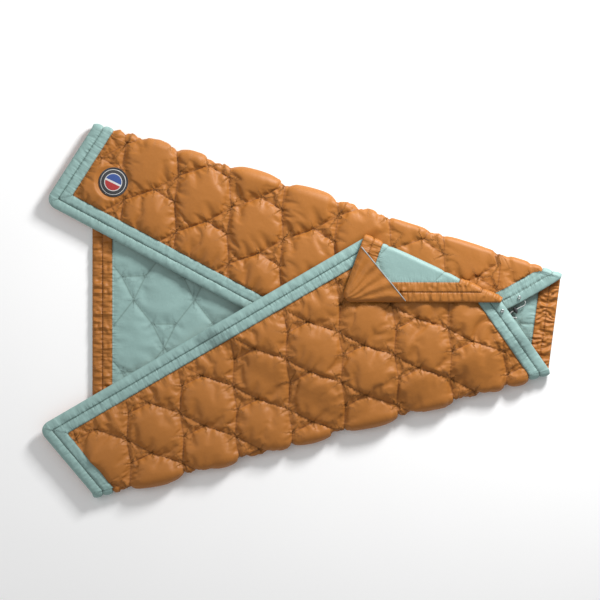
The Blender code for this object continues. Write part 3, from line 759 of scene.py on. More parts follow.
def quilt_piece(name, panel, outer, inner, materials, keep_sharp=None):
    """Closed padded mesh between the outer and the inner face of a panel's grid."""
    columns, rows = panel.edge.shape
    mesh, column, row, top = grid_slab(columns, rows)
    points = np.where(top[:, None], outer[column, row], inner[column, row])
    write_points(mesh, points)
    mesh.name = name
    for attribute, values in (("edge", panel.edge), ("seam", panel.seam),
                              ("depth", np.abs(panel.seam)), ("run", panel.run),
                              ("seam_run", panel.seam_run)):
        store(mesh, attribute, values[column, row])
    store_map(mesh, panel.flat[column, row])
    corners = np.zeros(len(mesh.loops), np.int32)
    mesh.loops.foreach_get("vertex_index", corners)
    quads = corners.reshape(-1, 4)
    outside = top[quads].all(axis=1)
    mesh.polygons.foreach_set("material_index", np.where(outside, 0, 1).astype(np.int32))
    mesh.polygons.foreach_set("use_smooth", np.ones(len(mesh.polygons), bool))
    if keep_sharp is not None:
        ends = np.zeros(len(mesh.edges) * 2, np.int32)
        mesh.edges.foreach_get("vertices", ends)
        ends = ends.reshape(-1, 2)
        sharp = keep_sharp(column[ends], row[ends]).all(axis=1)
        layer = mesh.attributes.new("sharp_edge", "BOOLEAN", "EDGE")
        layer.data.foreach_set("value", sharp)
    for finish in materials:
        mesh.materials.append(finish)
    facing_out(mesh)
    return new_object(name, mesh)


# ---- shader maths --------------------------------------------------------------------------
class Socket:
    """A node's output with the arithmetic that shaders need."""

    def __init__(self, tree, output):
        self.tree = tree
        self.output = output

    def math(self, operation, *values):
        node = self.tree.nodes.new("ShaderNodeMath")
        node.operation = operation
        for slot, value in zip(node.inputs, values):
            connect(self.tree, slot, value)
        return Socket(self.tree, node.outputs[0])

    def __add__(self, other):
        return self.math("ADD", self, other)

    def __radd__(self, other):
        return self.math("ADD", other, self)

    def __sub__(self, other):
        return self.math("SUBTRACT", self, other)

    def __rsub__(self, other):
        return self.math("SUBTRACT", other, self)

    def __mul__(self, other):
        return self.math("MULTIPLY", self, other)

    def __rmul__(self, other):
        return self.math("MULTIPLY", other, self)

    def __truediv__(self, other):
        return self.math("DIVIDE", self, other)

    def __lt__(self, other):
        return self.math("LESS_THAN", self, other)

    def __gt__(self, other):
        return self.math("GREATER_THAN", self, other)

    def least(self, other):
        return self.math("MINIMUM", self, other)

    def greatest(self, other):
        return self.math("MAXIMUM", self, other)

    def smooth_least(self, other, distance):
        return self.math("SMOOTH_MIN", self, other, distance)

    def arctangent(self, other):
        return self.math("ARCTAN2", self, other)

    def absolute(self):
        return self.math("ABSOLUTE", self)

    def root(self):
        return self.math("SQRT", self)

    def fraction(self):
        return self.math("FRACT", self)

    def sine(self):
        return self.math("SINE", self)

    def exponent(self):
        return self.math("EXPONENT", self)


def connect(tree, slot, value):
    if isinstance(value, Socket):
        tree.links.new(value.output, slot)
    else:
        slot.default_value = value


class Finish:
    """A material in the making: Principled shader, named attributes, noise and bump."""

    def __init__(self, name, **constants):
        self.material = bpy.data.materials.new(name)
        self.material.use_nodes = True
        self.tree = self.material.node_tree
        self.shader = self.tree.nodes["Principled BSDF"]
        for socket, value in constants.items():
            slot = self.shader.inputs[socket.replace("_", " ")]
            slot.default_value = (*value, 1.0) if isinstance(value, (tuple, list)) else value

    def node(self, kind, settings=None, output=0, **values):
        """A node of the type, its settings made first, then its sockets by name or number."""
        made = self.tree.nodes.new(kind)
        for key, value in (settings or {}).items():
            setattr(made, key, value)
        for key, value in values.items():
            slot = made.inputs[int(key[1:])] if key[0] == "i" and key[1:].isdigit() else (
                made.inputs[key.replace("_", " ")])
            connect(self.tree, slot, value)
        return Socket(self.tree, made.outputs[output])

    def attribute(self, name):
        return self.node("ShaderNodeAttribute", {"attribute_name": name}, "Fac")

    def spread(self):
        """Place on the spread-out blanket."""
        return self.node("ShaderNodeUVMap", {"uv_map": "spread"})

    def place(self):
        return self.node("ShaderNodeTexCoord", None, "Object")

    def noise(self, vector, scale, detail=2.0, roughness=0.5):
        return self.node("ShaderNodeTexNoise", None, 0, Vector=vector, Scale=scale,
                         Detail=detail, Roughness=roughness)

    def mix(self, factor, first, second, blend="MIX"):
        """Mix of two colours, each a socket or three numbers."""
        first, second = ((*value, 1.0) if isinstance(value, tuple) else value
                         for value in (first, second))
        return self.node("ShaderNodeMix", {"data_type": "RGBA", "blend_type": blend}, 2,
                         i0=factor, i6=first, i7=second)

    def around(self, centre):
        """Distances in x and y from an upright axis."""
        local = self.node("ShaderNodeVectorMath", {"operation": "SUBTRACT"}, 0, i0=self.place(),
                          i1=(float(centre[0]), float(centre[1]), 0.0))
        return (self.node("ShaderNodeSeparateXYZ", None, 0, Vector=local),
                self.node("ShaderNodeSeparateXYZ", None, 1, Vector=local))

    def bump(self, height, distance, strength=1.0, under=None):
        values = {"Height": height, "Distance": distance, "Strength": strength}
        if under is not None:
            values["Normal"] = under
        return self.node("ShaderNodeBump", None, 0, **values)

    def wave(self, vector, direction, scale):
        return self.node("ShaderNodeTexWave", {"wave_type": "BANDS", "bands_direction": direction},
                         1, Vector=vector, Scale=scale, Distortion=0.3)

    def crumple(self, spread, strength):
        """Weave, with the small creases of thin nylon over it."""
        weave = self.bump(self.wave(spread, "X", 420.0) * self.wave(spread, "Y", 420.0),
                          0.00006, 0.4)
        creases = self.noise(spread, 55.0, 4.0, 0.55)
        return self.bump(creases, 0.005, strength, weave)

    def feed(self, socket, value):
        connect(self.tree, self.shader.inputs[socket], value)

    def vary(self, tone, hue, low, high, depth, strength):
        """Colour between two shades of hue as tone goes, and bumps of the given depth."""
        self.feed("Base Color", self.mix(tone, shade(hue, low), shade(hue, high)))
        self.feed("Normal", self.bump(tone, depth, strength))


def shade(hue, factor):
    return tuple(channel * factor for channel in hue)


def quilt_finish(name, border, border_colour, field_colour, border_thread, field_thread, ruche):
    """Woven nylon, one colour in the border and another in the cells, with its stitches."""
    finish = Finish(name, Roughness=0.48, Specular_IOR_Level=0.38)
    edge = finish.attribute("edge")
    depth = finish.attribute("depth")
    # the signed distance is exact beside a seam, but it changes sign halfway between two
    close = depth < 0.006
    seam = close * finish.attribute("seam").absolute() + (1 - close) * depth
    run = finish.attribute("run")
    seam_run = finish.attribute("seam_run")
    spread = finish.spread()
    inner = edge > border
    mottle = finish.noise(spread, 9.0, 3.0)
    fine = finish.noise(spread, 160.0, 3.0, 0.6)
    tone = 0.35 * mottle + 0.65 * fine
    border_mix = finish.mix(tone, shade(border_colour, 0.90), shade(border_colour, 1.10))
    field_mix = finish.mix(tone, shade(field_colour, 0.90), shade(field_colour, 1.10))
    fabric = finish.mix(inner, border_mix, field_mix)
    # lines of stitches at the border's two seams and along the quilting
    nearest = (edge - border / 2).absolute().least((edge - border).absolute())
    in_border = (1 - inner) * (nearest < THREAD_HALF) * (
        (run * STITCHES).fraction() < STITCH_SHARE)
    in_field = inner * (seam < THREAD_HALF) * (
        (seam_run * STITCHES).fraction() < STITCH_SHARE)
    thread = finish.mix(inner, border_thread, field_thread)
    stitched = finish.mix(in_border.greatest(in_field), fabric, thread)
    # painted shade: the fabric beside each seam is darkened where its crease would be in shade
    nearer = nearest.least(seam + FAR_OFF * (1 - inner))
    crease = (nearer / SEAM_SHADE_WIDTH).smooth_least(1.0, 0.3)
    # colour of the painted seam shade, multiplied into the base colour below
    dark = finish.mix(crease, (0.80, 0.78, 0.76), (1.0, 1.0, 1.0))
    finish.feed("Base Color", finish.mix(1.0, stitched, dark, "MULTIPLY"))
    # gathers run out of each seam and die away in the cell
    in_cell = (depth / -0.016).exponent() * inner
    in_channel = (nearest / -0.010).exponent()
    gather_place = finish.node("ShaderNodeCombineXYZ", None, 0, X=seam_run, Y=depth * 0.28,
                               Z=seam_run * 0.3)
    channel_place = finish.node("ShaderNodeCombineXYZ", None, 0, X=run, Y=edge * 0.25, Z=0.0)
    gathers = finish.noise(gather_place, 62.0, 1.0, 0.5) * in_cell
    puckers = finish.noise(channel_place, 120.0, 2.0, 0.5) * in_channel
    gathers = gathers * (0.7 if ruche < 1 else 0.3)
    drawn_up = finish.noise(channel_place, 48.0, 1.0, 0.5)
    folds = drawn_up * (1 - inner) * ruche
    drawn = finish.bump(gathers + puckers + folds, 0.0075, 0.9, finish.crumple(spread, 0.16))
    finish.feed("Normal", drawn)
    finish.feed("Roughness", 0.46 + 0.16 * finish.noise(spread, 40.0, 2.0))
    return finish.material


def pocket_finish(brown, thread):
    """The shell's nylon without quilting, topstitched along its sewn edges."""
    finish = Finish("pocket_nylon", Roughness=0.44, Specular_IOR_Level=0.42)
    edge = finish.attribute("edge")
    run = finish.attribute("run")
    spread = finish.spread()
    tone = 0.5 * finish.noise(spread, 11.0, 3.0) + 0.5 * finish.noise(spread, 150.0, 3.0)
    fabric = finish.mix(tone, shade(brown, 0.88), shade(brown, 1.12))
    stitch = ((edge - 0.004).absolute() < 0.0006) * ((run * 320.0).fraction() < 0.7)
    finish.feed("Base Color", finish.mix(stitch, fabric, thread))
    finish.feed("Normal", finish.crumple(spread, 0.35))
    finish.feed("Roughness", 0.38 + 0.14 * finish.noise(spread, 35.0))
    return finish.material


def tape_finish(hue):
    """Threads crossing on the piece's own coordinates."""
    finish = Finish("mouth_tape", Roughness=0.6, Specular_IOR_Level=0.35, Sheen_Weight=0.2)
    place = finish.place()
    finish.vary(finish.wave(place, "X", 260.0) * finish.wave(place, "Y", 260.0),
                hue, 0.65, 1.05, 0.0002, 0.7)
    return finish.material


def braid_finish(hue):
    """Diagonal braid of a round cord."""
    finish = Finish("braided_cord", Roughness=0.62, Specular_IOR_Level=0.35, Sheen_Weight=0.2)
    place = finish.place()
    one = finish.wave(place, "DIAGONAL", 190.0)
    other = finish.node("ShaderNodeTexVoronoi", {"feature": "F1"}, 0, Vector=place, Scale=900.0)
    tone = one * 0.6 + other * 0.5
    finish.vary(tone, hue, 0.55, 1.15, 0.0002, 0.8)
    return finish.material


def metal_finish(hue):
    """Satin plated metal with fine wear."""
    finish = Finish("satin_metal", Metallic=1.0, Roughness=0.35)
    place = finish.place()
    wear = finish.noise(place, 600.0, 4.0, 0.6)
    finish.vary(wear, hue, 0.75, 1.1, 0.00004, 0.4)
    finish.feed("Roughness", 0.25 + 0.25 * wear)
    return finish.material


def plastic_finish(name, hue):
    """Moulded plastic with a fine spark texture."""
    finish = Finish(name, Roughness=0.45, Specular_IOR_Level=0.5)
    place = finish.place()
    grain = finish.noise(place, 1800.0, 3.0, 0.6)
    finish.vary(grain, hue, 0.8, 1.25, 0.00005, 0.5)
    finish.feed("Roughness", 0.38 + 0.2 * grain)
    return finish.material


def patch_finish(centre, sizes, colours):
    """Embroidered roundel: a dark ring, a pale line, and a field of two halves and a pale bar."""
    finish = Finish("patch_embroidery", Roughness=0.55, Specular_IOR_Level=0.4, Sheen_Weight=0.25)
    place = finish.place()
    x, y = finish.around(centre)
    away = (x * x + y * y).root()
    pale, ring = tuple(colours.patch_pale), tuple(colours.patch_ring)
    warm, cool = tuple(colours.patch_warm), tuple(colours.patch_cool)
    slope = y * 0.90 + x * 0.44
    halves = finish.mix(slope > 0.0, warm, cool)
    field = finish.mix((slope + 0.0005).absolute() < 0.0028, halves, pale)
    inner = sizes.patch * 0.58
    with_ring = finish.mix(away > inner, field, ring)
    line = finish.mix((away - inner).absolute() < 0.0011, with_ring, pale)
    outer = sizes.patch * 0.845
    line = finish.mix((away - outer).absolute() < 0.0008, line, pale)
    satin = finish.wave(place, "X", 330.0)
    threads = finish.wave(place, "DIAGONAL", 300.0)
    tone = satin * 0.6 + threads * 0.4
    dark = finish.mix(tone, (0.45, 0.45, 0.45), (1.0, 1.0, 1.0))
    finish.feed("Base Color", finish.mix(0.55, line, dark, "MULTIPLY"))
    finish.feed("Normal", finish.bump(tone, 0.00025, 0.8))
    return finish.material


def merrow_finish(centre, hue):
    """Thread wound over an edge, its turns pointing at the centre."""
    finish = Finish("merrow_thread", Roughness=0.5, Specular_IOR_Level=0.45, Sheen_Weight=0.3)
    x, y = finish.around(centre)
    turns = (y.arctangent(x) * 170.0).sine()
    finish.feed("Base Color", finish.mix(0.5 + 0.5 * turns, shade(hue, 0.5), shade(hue, 2.2)))
    finish.feed("Normal", finish.bump(turns, 0.0004, 0.8))
    return finish.material


# ---- padding of the panels -----------------------------------------------------------------
def plain_face(panel, rows, side, height):
    """Moves of a face that is only pressed against another layer."""
    height = np.maximum(height, THREADBARE)
    return side * height[..., None] * panel.normal[:, rows]


def pad_quilt(quilt, cover):
    """Outer and inner face of one half of the blanket."""
    sizes = quilt.sizes
    edge, seam = quilt.edge, quilt.seam
    tubes = channels(edge, sizes.border)
    puffs = cells(seam, edge, sizes.border, CELL_SOFTNESS)
    pressed = sizes.press * (puffs + tubes)
    outer = quilt.middle + plain_face(quilt, ALL_ROWS, 1, pressed)
    inner = quilt.middle - plain_face(quilt, ALL_ROWS, 1, pressed)
    # the shell of the fold and the flap, coming in from the pressed underside
    visible = slice(quilt.BACK_ROWS, None)
    blown = quilt.middle[:, visible] + padded_face(
        quilt, visible, 1, cover[:, visible], SHELL_AIR)
    share = smooth(np.arange(blown.shape[1]) / 5.0)[None, :, None]
    outer[:, visible] = outer[:, visible] * (1 - share) + blown * share
    # the lining of the back
    back = slice(0, quilt.BACK_ROWS)
    cap = np.full(edge[:, back].shape, sizes.press)
    lining = quilt.middle[:, back] + padded_face(quilt, back, -1, cap, LINING_AIR)
    # both halves meet at the centre line with the same pressed face
    share = smooth(np.arange(quilt.BACK_ROWS) / 6.0)[None, :, None]
    lining = inner[:, back] * (1 - share) + lining * share
    gathers = tubes[:, back] * (0.0062 + 0.0034 * ruched(quilt.run[:, back], edge[:, back], 9))
    facing = quilt.middle[:, back] + plain_face(quilt, back, -1, np.minimum(gathers, sizes.press))
    within = (edge[:, back] < sizes.border)[..., None]
    inner[:, back] = np.where(within, facing, lining)
    outer[..., 2] = np.maximum(outer[..., 2], 0.0)
    return outer, inner


def beneath(points, edges, height, free):
    """Greatest height of a face: less where the layer inside the edges lies on it."""
    over = np.min([edge.distance(points) for edge in edges], axis=0)
    share = smooth((over + 0.015) / 0.03)
    return free * (1 - share) + height * share


class Lapel:
    """The corner turned over the right flap: a roll at the crease, then the triangle."""

    FIELD_COLUMNS = 110
    ROLL_ROWS = 13
    FIELD_ROWS = 34

    def __init__(self, layout, right):
        sizes = layout.sizes
        self.sizes = sizes
        self.origin, self.end = layout.crease
        self.tip = lapel_tip(layout)
        self.e = unit(self.end - self.origin)
        self.n = square_to(self.e, self.tip - self.origin)
        self.side_edge = Line(self.origin, self.tip, self.end)
        self.neck_edge = Line(self.tip, self.end, self.origin)
        self.height = layout.crease_height
        self.make_grid(right)

    def make_grid(self, right):
        offsets = border_steps(self.sizes.border)
        count = self.FIELD_COLUMNS
        ends = []
        for start, way in ((self.origin, self.e), (self.tip, self.neck_edge.way)):
            side = border_ends(self.side_edge, offsets, start, way)
            inner = [side[-1] + (self.end - side[-1]) * step / count * LAPEL_REACH
                     for step in range(1, count + 1)]
            ends.append(np.array(side + inner))
        near, far = ends
        flat_part = field_rows(near, far, self.neck_edge, offsets, self.FIELD_ROWS, 0.3, 0.8)
        roll = np.repeat(near[:, None], self.ROLL_ROWS, axis=1)
        plan = np.concatenate([roll, flat_part], axis=1)
        turns = np.linspace(-math.pi / 2, math.pi / 2, self.ROLL_ROWS + 1)[:-1]
        turn = np.concatenate([turns, np.full(flat_part.shape[1], math.pi / 2)])
        self.turn = np.repeat(turn[None], len(near), axis=0)
        self.edge, self.run = nearest_edge((self.side_edge, self.neck_edge), plan)
        radius = right.hinge / 2
        local = plan - self.origin
        outward = local @ self.n + (self.turn + math.pi / 2) * radius
        self.flat = (self.origin + (local @ self.e)[..., None] * self.e
                     - outward[..., None] * self.n)
        self.seam, self.seam_run = right.quilting_at(self.flat)
        plan = rounded_corner(plan, self.side_edge, self.neck_edge, self.sizes.corner)
        radial, self.across = roll_axes(self.n, self.turn)
        self.normal = -radial
        lift = np.full((*plan.shape[:2], 1), self.height)
        self.middle = np.concatenate([plan, lift], axis=-1) + radius * radial
        self.plan = plan


def lapel_tip(layout):
    crease, crease_end = layout.crease
    way = unit(crease_end - crease)
    angle = layout.sizes.lapel_angle
    turned = np.array((way[0] * math.cos(angle) + way[1] * math.sin(angle),
                       way[1] * math.cos(angle) - way[0] * math.sin(angle)))
    return crease + layout.sizes.lapel_side * turned


def pocket_ends(sizes, lapel):
    """Ends of the pocket's mouth on the lapel's side edge and on its neck edge."""
    return (lapel.tip + sizes.pocket_side * unit(lapel.origin - lapel.tip),
            lapel.tip + sizes.pocket_neck * unit(lapel.end - lapel.tip))


def pad_lapel(lapel):
    """Shell face, which lies underneath, and lining face of the lapel."""
    sizes = lapel.sizes
    edge, seam = lapel.edge, lapel.seam
    tubes = channels(edge, sizes.border)
    puffs = cells(seam, edge, sizes.border, CELL_SOFTNESS)
    shell = lapel.middle + plain_face(lapel, ALL_ROWS, 1, LAPEL_PRESS * (puffs + tubes))
    cap = np.full(edge.shape, LAPEL_PUFF)
    lining = lapel.middle + padded_face(lapel, ALL_ROWS, -1, cap, LAPEL_AIR)
    lining = lining - lapel.normal * (tubes * 0.0012 * ruched(lapel.run, edge, 21))[..., None]
    # flat under the pocket
    mouth = Line(*pocket_ends(sizes, lapel), lapel.tip)
    share = smooth((mouth.distance(lapel.plan) + 0.004) / 0.016)[..., None]
    share = np.where(lapel.turn[..., None] < math.pi / 2 - 0.01, 0.0, share)
    low = lapel.middle - lapel.normal * (POCKET_BED * (1 - np.exp(-edge / 0.012)))[..., None]
    return shell, lining * (1 - share) + low * share


def pocket_slack(lapel, plan, edge, from_mouth):
    """Height of the pocket's cloth over its seams, with rays that run out of its corner."""
    corner = plan - lapel.tip
    turn = np.arctan2(corner[..., 1], corner[..., 0])
    rays = np.sin(turn * 23 + 2.0 * noise(plan[..., 0], plan[..., 1], 0.05, 31))
    puckers = noise(plan[..., 0], plan[..., 1], 0.014, 33) * np.exp(-edge / 0.014)
    folds = noise(plan[..., 0], plan[..., 1], 0.035, 35)
    slack = 0.0155 * (1 - np.exp(-edge / 0.010)) + 0.0018 * np.exp(-from_mouth / 0.02)
    slack = slack + 0.0019 * rays * smooth(edge / 0.02) * smooth((0.15 - from_mouth) / 0.1)
    slack = slack + 0.0016 * puckers * smooth(edge / 0.004)
    return slack + 0.0026 * folds * smooth(edge / 0.03)


class SimplePanel:
    """Edge distances of a cloth that has no quilting."""

    def __init__(self, edge, run, flat):
        self.edge = edge
        self.run = run
        self.flat = flat
        self.seam = np.full(edge.shape, 9.0)
        self.seam_run = run


def sweep(name, path, radii, around=10):
    """Closed tube along the path, round or flattened, its ends capped."""
    bm = bmesh.new()
    bmesh.ops.create_grid(bm, x_segments=len(path) - 1, y_segments=around, size=1.0)
    mesh = bpy.data.meshes.new(name)
    bm.to_mesh(mesh)
    points = read_points(mesh)
    column = grid_index(points[:, 0], len(path))
    angle = (points[:, 1] + 1) * math.pi
    path = np.array(path)
    way = unit_rows(np.gradient(path, axis=0))
    beside = unit_rows(np.cross(way, Z))
    above = np.cross(beside, way)
    wide, high = radii
    written = (path[column] + beside[column] * (wide * np.cos(angle))[:, None]
               + above[column] * (high * np.sin(angle))[:, None])
    bm.verts.ensure_lookup_table()
    for vertex, place in zip(bm.verts, written):
        vertex.co = place
    bmesh.ops.remove_doubles(bm, verts=bm.verts[:], dist=1e-6)
    rims = [edge for edge in bm.edges if edge.is_boundary]
    bmesh.ops.holes_fill(bm, edges=rims, sides=around + 2)
    bmesh.ops.recalc_face_normals(bm, faces=bm.faces[:])
    for face in bm.faces:
        face.smooth = True
    bm.to_mesh(mesh)
    bm.free()
    return new_object(name, mesh)


def turned(name, profile, centre, steps=48):
    """Closed solid of revolution about the upright axis through centre."""
    bm = bmesh.new()
    vertices = [bm.verts.new((radius, 0.0, height)) for radius, height in profile]
    edges = [bm.edges.new(pair) for pair in zip(vertices, vertices[1:])]
    bmesh.ops.spin(bm, geom=vertices + edges, cent=(0, 0, 0), axis=(0, 0, 1),
                   angle=math.tau, steps=steps, use_merge=True)
    bmesh.ops.remove_doubles(bm, verts=bm.verts[:], dist=1e-6)
    bmesh.ops.recalc_face_normals(bm, faces=bm.faces[:])
    bmesh.ops.translate(bm, verts=bm.verts[:], vec=centre)
    for face in bm.faces:
        face.smooth = True
    mesh = bpy.data.meshes.new(name)
    bm.to_mesh(mesh)
    bm.free()
    return new_object(name, mesh)


def smooth_route(route, steps):
    """Points of a smooth curve through the route's own points."""
    padded = [2 * route[0] - route[1], *route, 2 * route[-1] - route[-2]]
    curve = []
    for before, start, end, after in zip(padded, padded[1:], padded[2:], padded[3:]):
        for step in range(steps):
            t = step / steps
            curve.append(0.5 * (2 * start + (end - before) * t
                                + (2 * before - 5 * start + 4 * end - after) * t ** 2
                                + (3 * start - before - 3 * end + after) * t ** 3))
    return curve + [route[-1]]


def knot_turns(path):
    """Path of the cord in its knot: turns about the end of the path."""
    way = unit(path[-1] - path[-2])
    beside = unit(np.cross(way, Z))
    above = np.cross(beside, way)
    turns = []
    for step in range(KNOT_STEPS + 1):
        turn = step / KNOT_STEPS * 2 * KNOT_TURNS * math.pi
        turns.append(path[-1] + way * (0.0012 + 0.0028 * step / KNOT_STEPS) + 0.0016 * (
            math.cos(turn) * beside + math.sin(turn) * above))
    return turns


def cord_route(layout, sizes):
    """The drawcord's free end: out of the left flap's neck edge, through the lock, to its knot."""
    places = (
        (0.0123, 0.0006, 2.00), (0.0121, 0.0053, 1.89), (0.0096, 0.0100, 1.49),
        (0.0046, 0.0131, 1.16), (-0.0015, 0.0136, 1.02), (-0.0085, 0.0136, 1.00),
        (-0.0144, 0.0143, 1.00), (-0.0243, 0.0155, 1.00), (-0.0343, 0.0167, 1.00),
        (-0.0397, 0.0183, 0.75), (-0.0430, 0.0231, 0.36), (-0.0423, 0.0293, 0.07),
        (-0.0383, 0.0341, 0.00), (-0.0331, 0.0373, 0.00),
    )
    tip, neck = left_outline(layout)[1], layout.left[1]
    along = unit(neck - tip)
    out = np.array((along[1], -along[0]))
    share = sizes.cord_exit
    edge = tip + share * (neck - tip) + 4 * sizes.left_neck_bow * share * (1 - share) * out
    lock = JOINTS["cord_lock_slide"]["pos_m"][2]
    heights = (sizes.loft + sizes.knot + KNOT_CLEARANCE, lock, sizes.pitch + sizes.loft / 2)
    return [np.array((*(edge + forward * along + sideways * out),
                      np.interp(level, (0, 1, 2), heights)))
            for forward, sideways, level in places]


# ---- operators -----------------------------------------------------------------------------
def settings(context):
    return context.scene.blanket_sizes, context.scene.blanket_colours


def fabrics(sizes, colours):
    """Shell and lining materials, made once."""
    if "shell_fabric" not in bpy.data.materials:
        brown, teal = tuple(colours.brown), tuple(colours.teal)
        dark_brown, dark_teal = tuple(colours.thread_brown), tuple(colours.thread_teal)
        border = sizes.border
        quilt_finish("shell_fabric", border, teal, brown, dark_teal, dark_brown, 0.15)
        quilt_finish("lining_fabric", border, brown, teal, dark_brown, dark_teal, 2.4)
    return bpy.data.materials["shell_fabric"], bpy.data.materials["lining_fabric"]


def border_nodes(*edges):
    return [edge + "_" + kind for edge in edges
            for kind in ("facing", "border", "outer_channel", "inner_channel")]


def first_row(columns, rows):
    return rows == 0


class BLANKET_OT_left_quilt(bpy.types.Operator):
    """Build the left half of the quilt, folded over its left fold"""
    bl_idname = "blanket.left_quilt"
    bl_label = "Left Quilt"

    def execute(self, context):
        sizes, colours = settings(context)
        layout = Layout(sizes)
        quilt = Quilt(layout, "left")
        right_side = Line(*right_corners(layout), layout.right[1])
        cover = beneath(quilt.plan, [right_side], sizes.loft / 2, sizes.puff)
        outer, inner = pad_quilt(quilt, cover)
        seat_patch(quilt, outer, patch_place())
        piece = quilt_piece("left_quilt", quilt, outer, inner, fabrics(sizes, colours), first_row)
        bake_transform(piece)
        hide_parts("back_shell", "back_fill", "back_lining", "left_shell", "left_fill",
                    "left_lining", "left_fold", "neck_cord_back", "neck_cord_left",
                    *border_nodes("back_hem", "left_edge"))
        return {"FINISHED"}


class BLANKET_OT_right_quilt(bpy.types.Operator):
    """Build the right half of the quilt, folded over its right fold"""
    bl_idname = "blanket.right_quilt"
    bl_label = "Right Quilt"

    def execute(self, context):
        sizes, colours = settings(context)
        layout = Layout(sizes)
        quilt = Quilt(layout, "right")
        lapel = Lapel(layout, quilt)
        crease = Line(*layout.crease, lapel.tip)
        cover = beneath(quilt.plan, [crease, lapel.side_edge, lapel.neck_edge],
                        sizes.loft / 2, sizes.puff)
        outer, inner = pad_quilt(quilt, cover)
        piece = quilt_piece("right_quilt", quilt, outer, inner, fabrics(sizes, colours), first_row)
        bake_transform(piece)
        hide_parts("right_shell", "right_fill", "right_lining", "right_fold",
                    "neck_cord_right", *border_nodes("back_neck", "right_edge", "right_neck"))
        return {"FINISHED"}


class BLANKET_OT_lapel(bpy.types.Operator):
    """Build the lapel that is turned over the right flap"""
    bl_idname = "blanket.lapel"
    bl_label = "Lapel"

    def execute(self, context):
        sizes, colours = settings(context)
        layout = Layout(sizes)
        lapel = Lapel(layout, Quilt(layout, "right"))
        shell, lining = pad_lapel(lapel)
        piece = quilt_piece("lapel_quilt", lapel, shell, lining, fabrics(sizes, colours), first_row)
        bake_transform(piece)
        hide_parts("lapel_shell", "lapel_fill", "lapel_lining", "lapel_fold",
                    *border_nodes("lapel_edge"))
        return {"FINISHED"}


class BLANKET_OT_pocket(bpy.types.Operator):
    """Build the hand pocket on the lapel's corner and the tape along its mouth"""
    bl_idname = "blanket.pocket"
    bl_label = "Hand Pocket"

    def execute(self, context):
        sizes, colours = settings(context)
        layout = Layout(sizes)
        lapel = Lapel(layout, Quilt(layout, "right"))
        side, neck = pocket_ends(sizes, lapel)
        level = layout.crease_height + layout.hinge / 2
        across = np.linspace(0, 1, 91)[:, None, None]
        down = np.linspace(1, 0.02, 84)[None, :, None]
        ray = side + (neck - side) * across
        plan = lapel.tip + (ray - lapel.tip) * down
        edge = np.minimum(lapel.side_edge.distance(plan), lapel.neck_edge.distance(plan))
        from_mouth = Line(side, neck, lapel.tip).distance(plan)
        slack = pocket_slack(lapel, plan, edge, from_mouth)
        run = np.where(lapel.side_edge.distance(plan) < lapel.neck_edge.distance(plan),
                       lapel.side_edge.along(plan), lapel.neck_edge.along(plan))
        rounded = rounded_corner(plan, lapel.side_edge, lapel.neck_edge, sizes.corner)
        top = np.concatenate([rounded, (level + 0.0018 + slack)[..., None]], axis=-1)
        panel = SimplePanel(edge, run, plan)
        piece = quilt_piece("pocket_cloth", panel, top, top - (0, 0, 0.0009),
                            (pocket_finish(tuple(colours.brown), tuple(colours.thread_brown)),))
        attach(piece, "lapel")
        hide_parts("pocket_panel")
        mouth = [point + (0, 0, 0.0002) for point in top[2:-2, 0]]
        tape = sweep("pocket_tape", mouth, (0.0017, 0.0010))
        tape.data.materials.append(tape_finish(tuple(colours.tape)))
        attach(tape, "lapel")
        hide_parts("pocket_binding")
        sides = side - lapel.tip, neck - lapel.tip
        abs(cross(*sides)) / 2
        return {"FINISHED"}


class BLANKET_OT_cord(bpy.types.Operator):
    """Build the drawcord's free end, its knot, the eyelets, and finish the cord lock"""
    bl_idname = "blanket.cord"
    bl_label = "Drawcord"

    def execute(self, context):
        sizes, colours = settings(context)
        layout = Layout(sizes)
        path = smooth_route(cord_route(layout, sizes), 8)
        braid = braid_finish(tuple(colours.cord))
        cord = sweep("neck_drawcord", path, (sizes.cord / 2, sizes.cord / 2), 12)
        cord.data.materials.append(braid)
        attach(cord, "left_flap")
        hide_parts("drawcord")
        knot = sweep("drawcord_knot", knot_turns(path), (sizes.cord / 2, sizes.cord / 2), 10)
        knot.data.materials.append(braid)
        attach(knot, "left_flap")
        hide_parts("cord_knot")
        length = sum(np.linalg.norm(b - a) for a, b in zip(path, path[1:]))
        metal = metal_finish(tuple(colours.metal))
        for side in ("left", "right"):
            low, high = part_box(side + "_eyelet")
            centre = ((low[0] + high[0]) / 2, (low[1] + high[1]) / 2, low[2] + sizes.eyelet_rise)
            profile = ((0.0024, -0.0006), (0.0026, 0.0006), (0.0034, 0.0011), (0.0046, 0.0008),
                       (0.0055, 0.0), (0.0053, -0.0008), (0.0040, -0.0010), (0.0024, -0.0006))
            ring = turned(side + "_grommet", profile, centre)
            ring.data.materials.append(metal)
            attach(ring, side + "_flap")
            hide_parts(side + "_eyelet")
        finishes = (("lock_barrel", plastic_finish("lock_plastic", tuple(colours.lock))),
                    ("lock_plunger", plastic_finish("button_plastic", tuple(colours.button))),
                    ("lock_spring", metal))
        for node, finish in finishes:
            for slot in frame["nodes"][node].material_slots:
                slot.material = finish
        return {"FINISHED"}


def right_corners(layout):
    """Hem corner and tip of the right flap's side edge."""
    sizes = layout.sizes
    start, end = layout.right
    e = unit(end - start)
    n = np.array((-e[1], e[0]))
    corner = start + sizes.right_hem_edge * (math.cos(sizes.right_hem_angle) * e
                                             + math.sin(sizes.right_hem_angle) * n)
    return corner, layout.crease[0]


def patch_place():
    low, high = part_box("patch_rim")
    return np.array(((low[0] + high[0]) / 2, (low[1] + high[1]) / 2))


def patch_dome(sizes, away):
    """Height of the flattened seat under the patch."""
    return 0.0118 - 0.0035 * (away / sizes.patch) ** 2


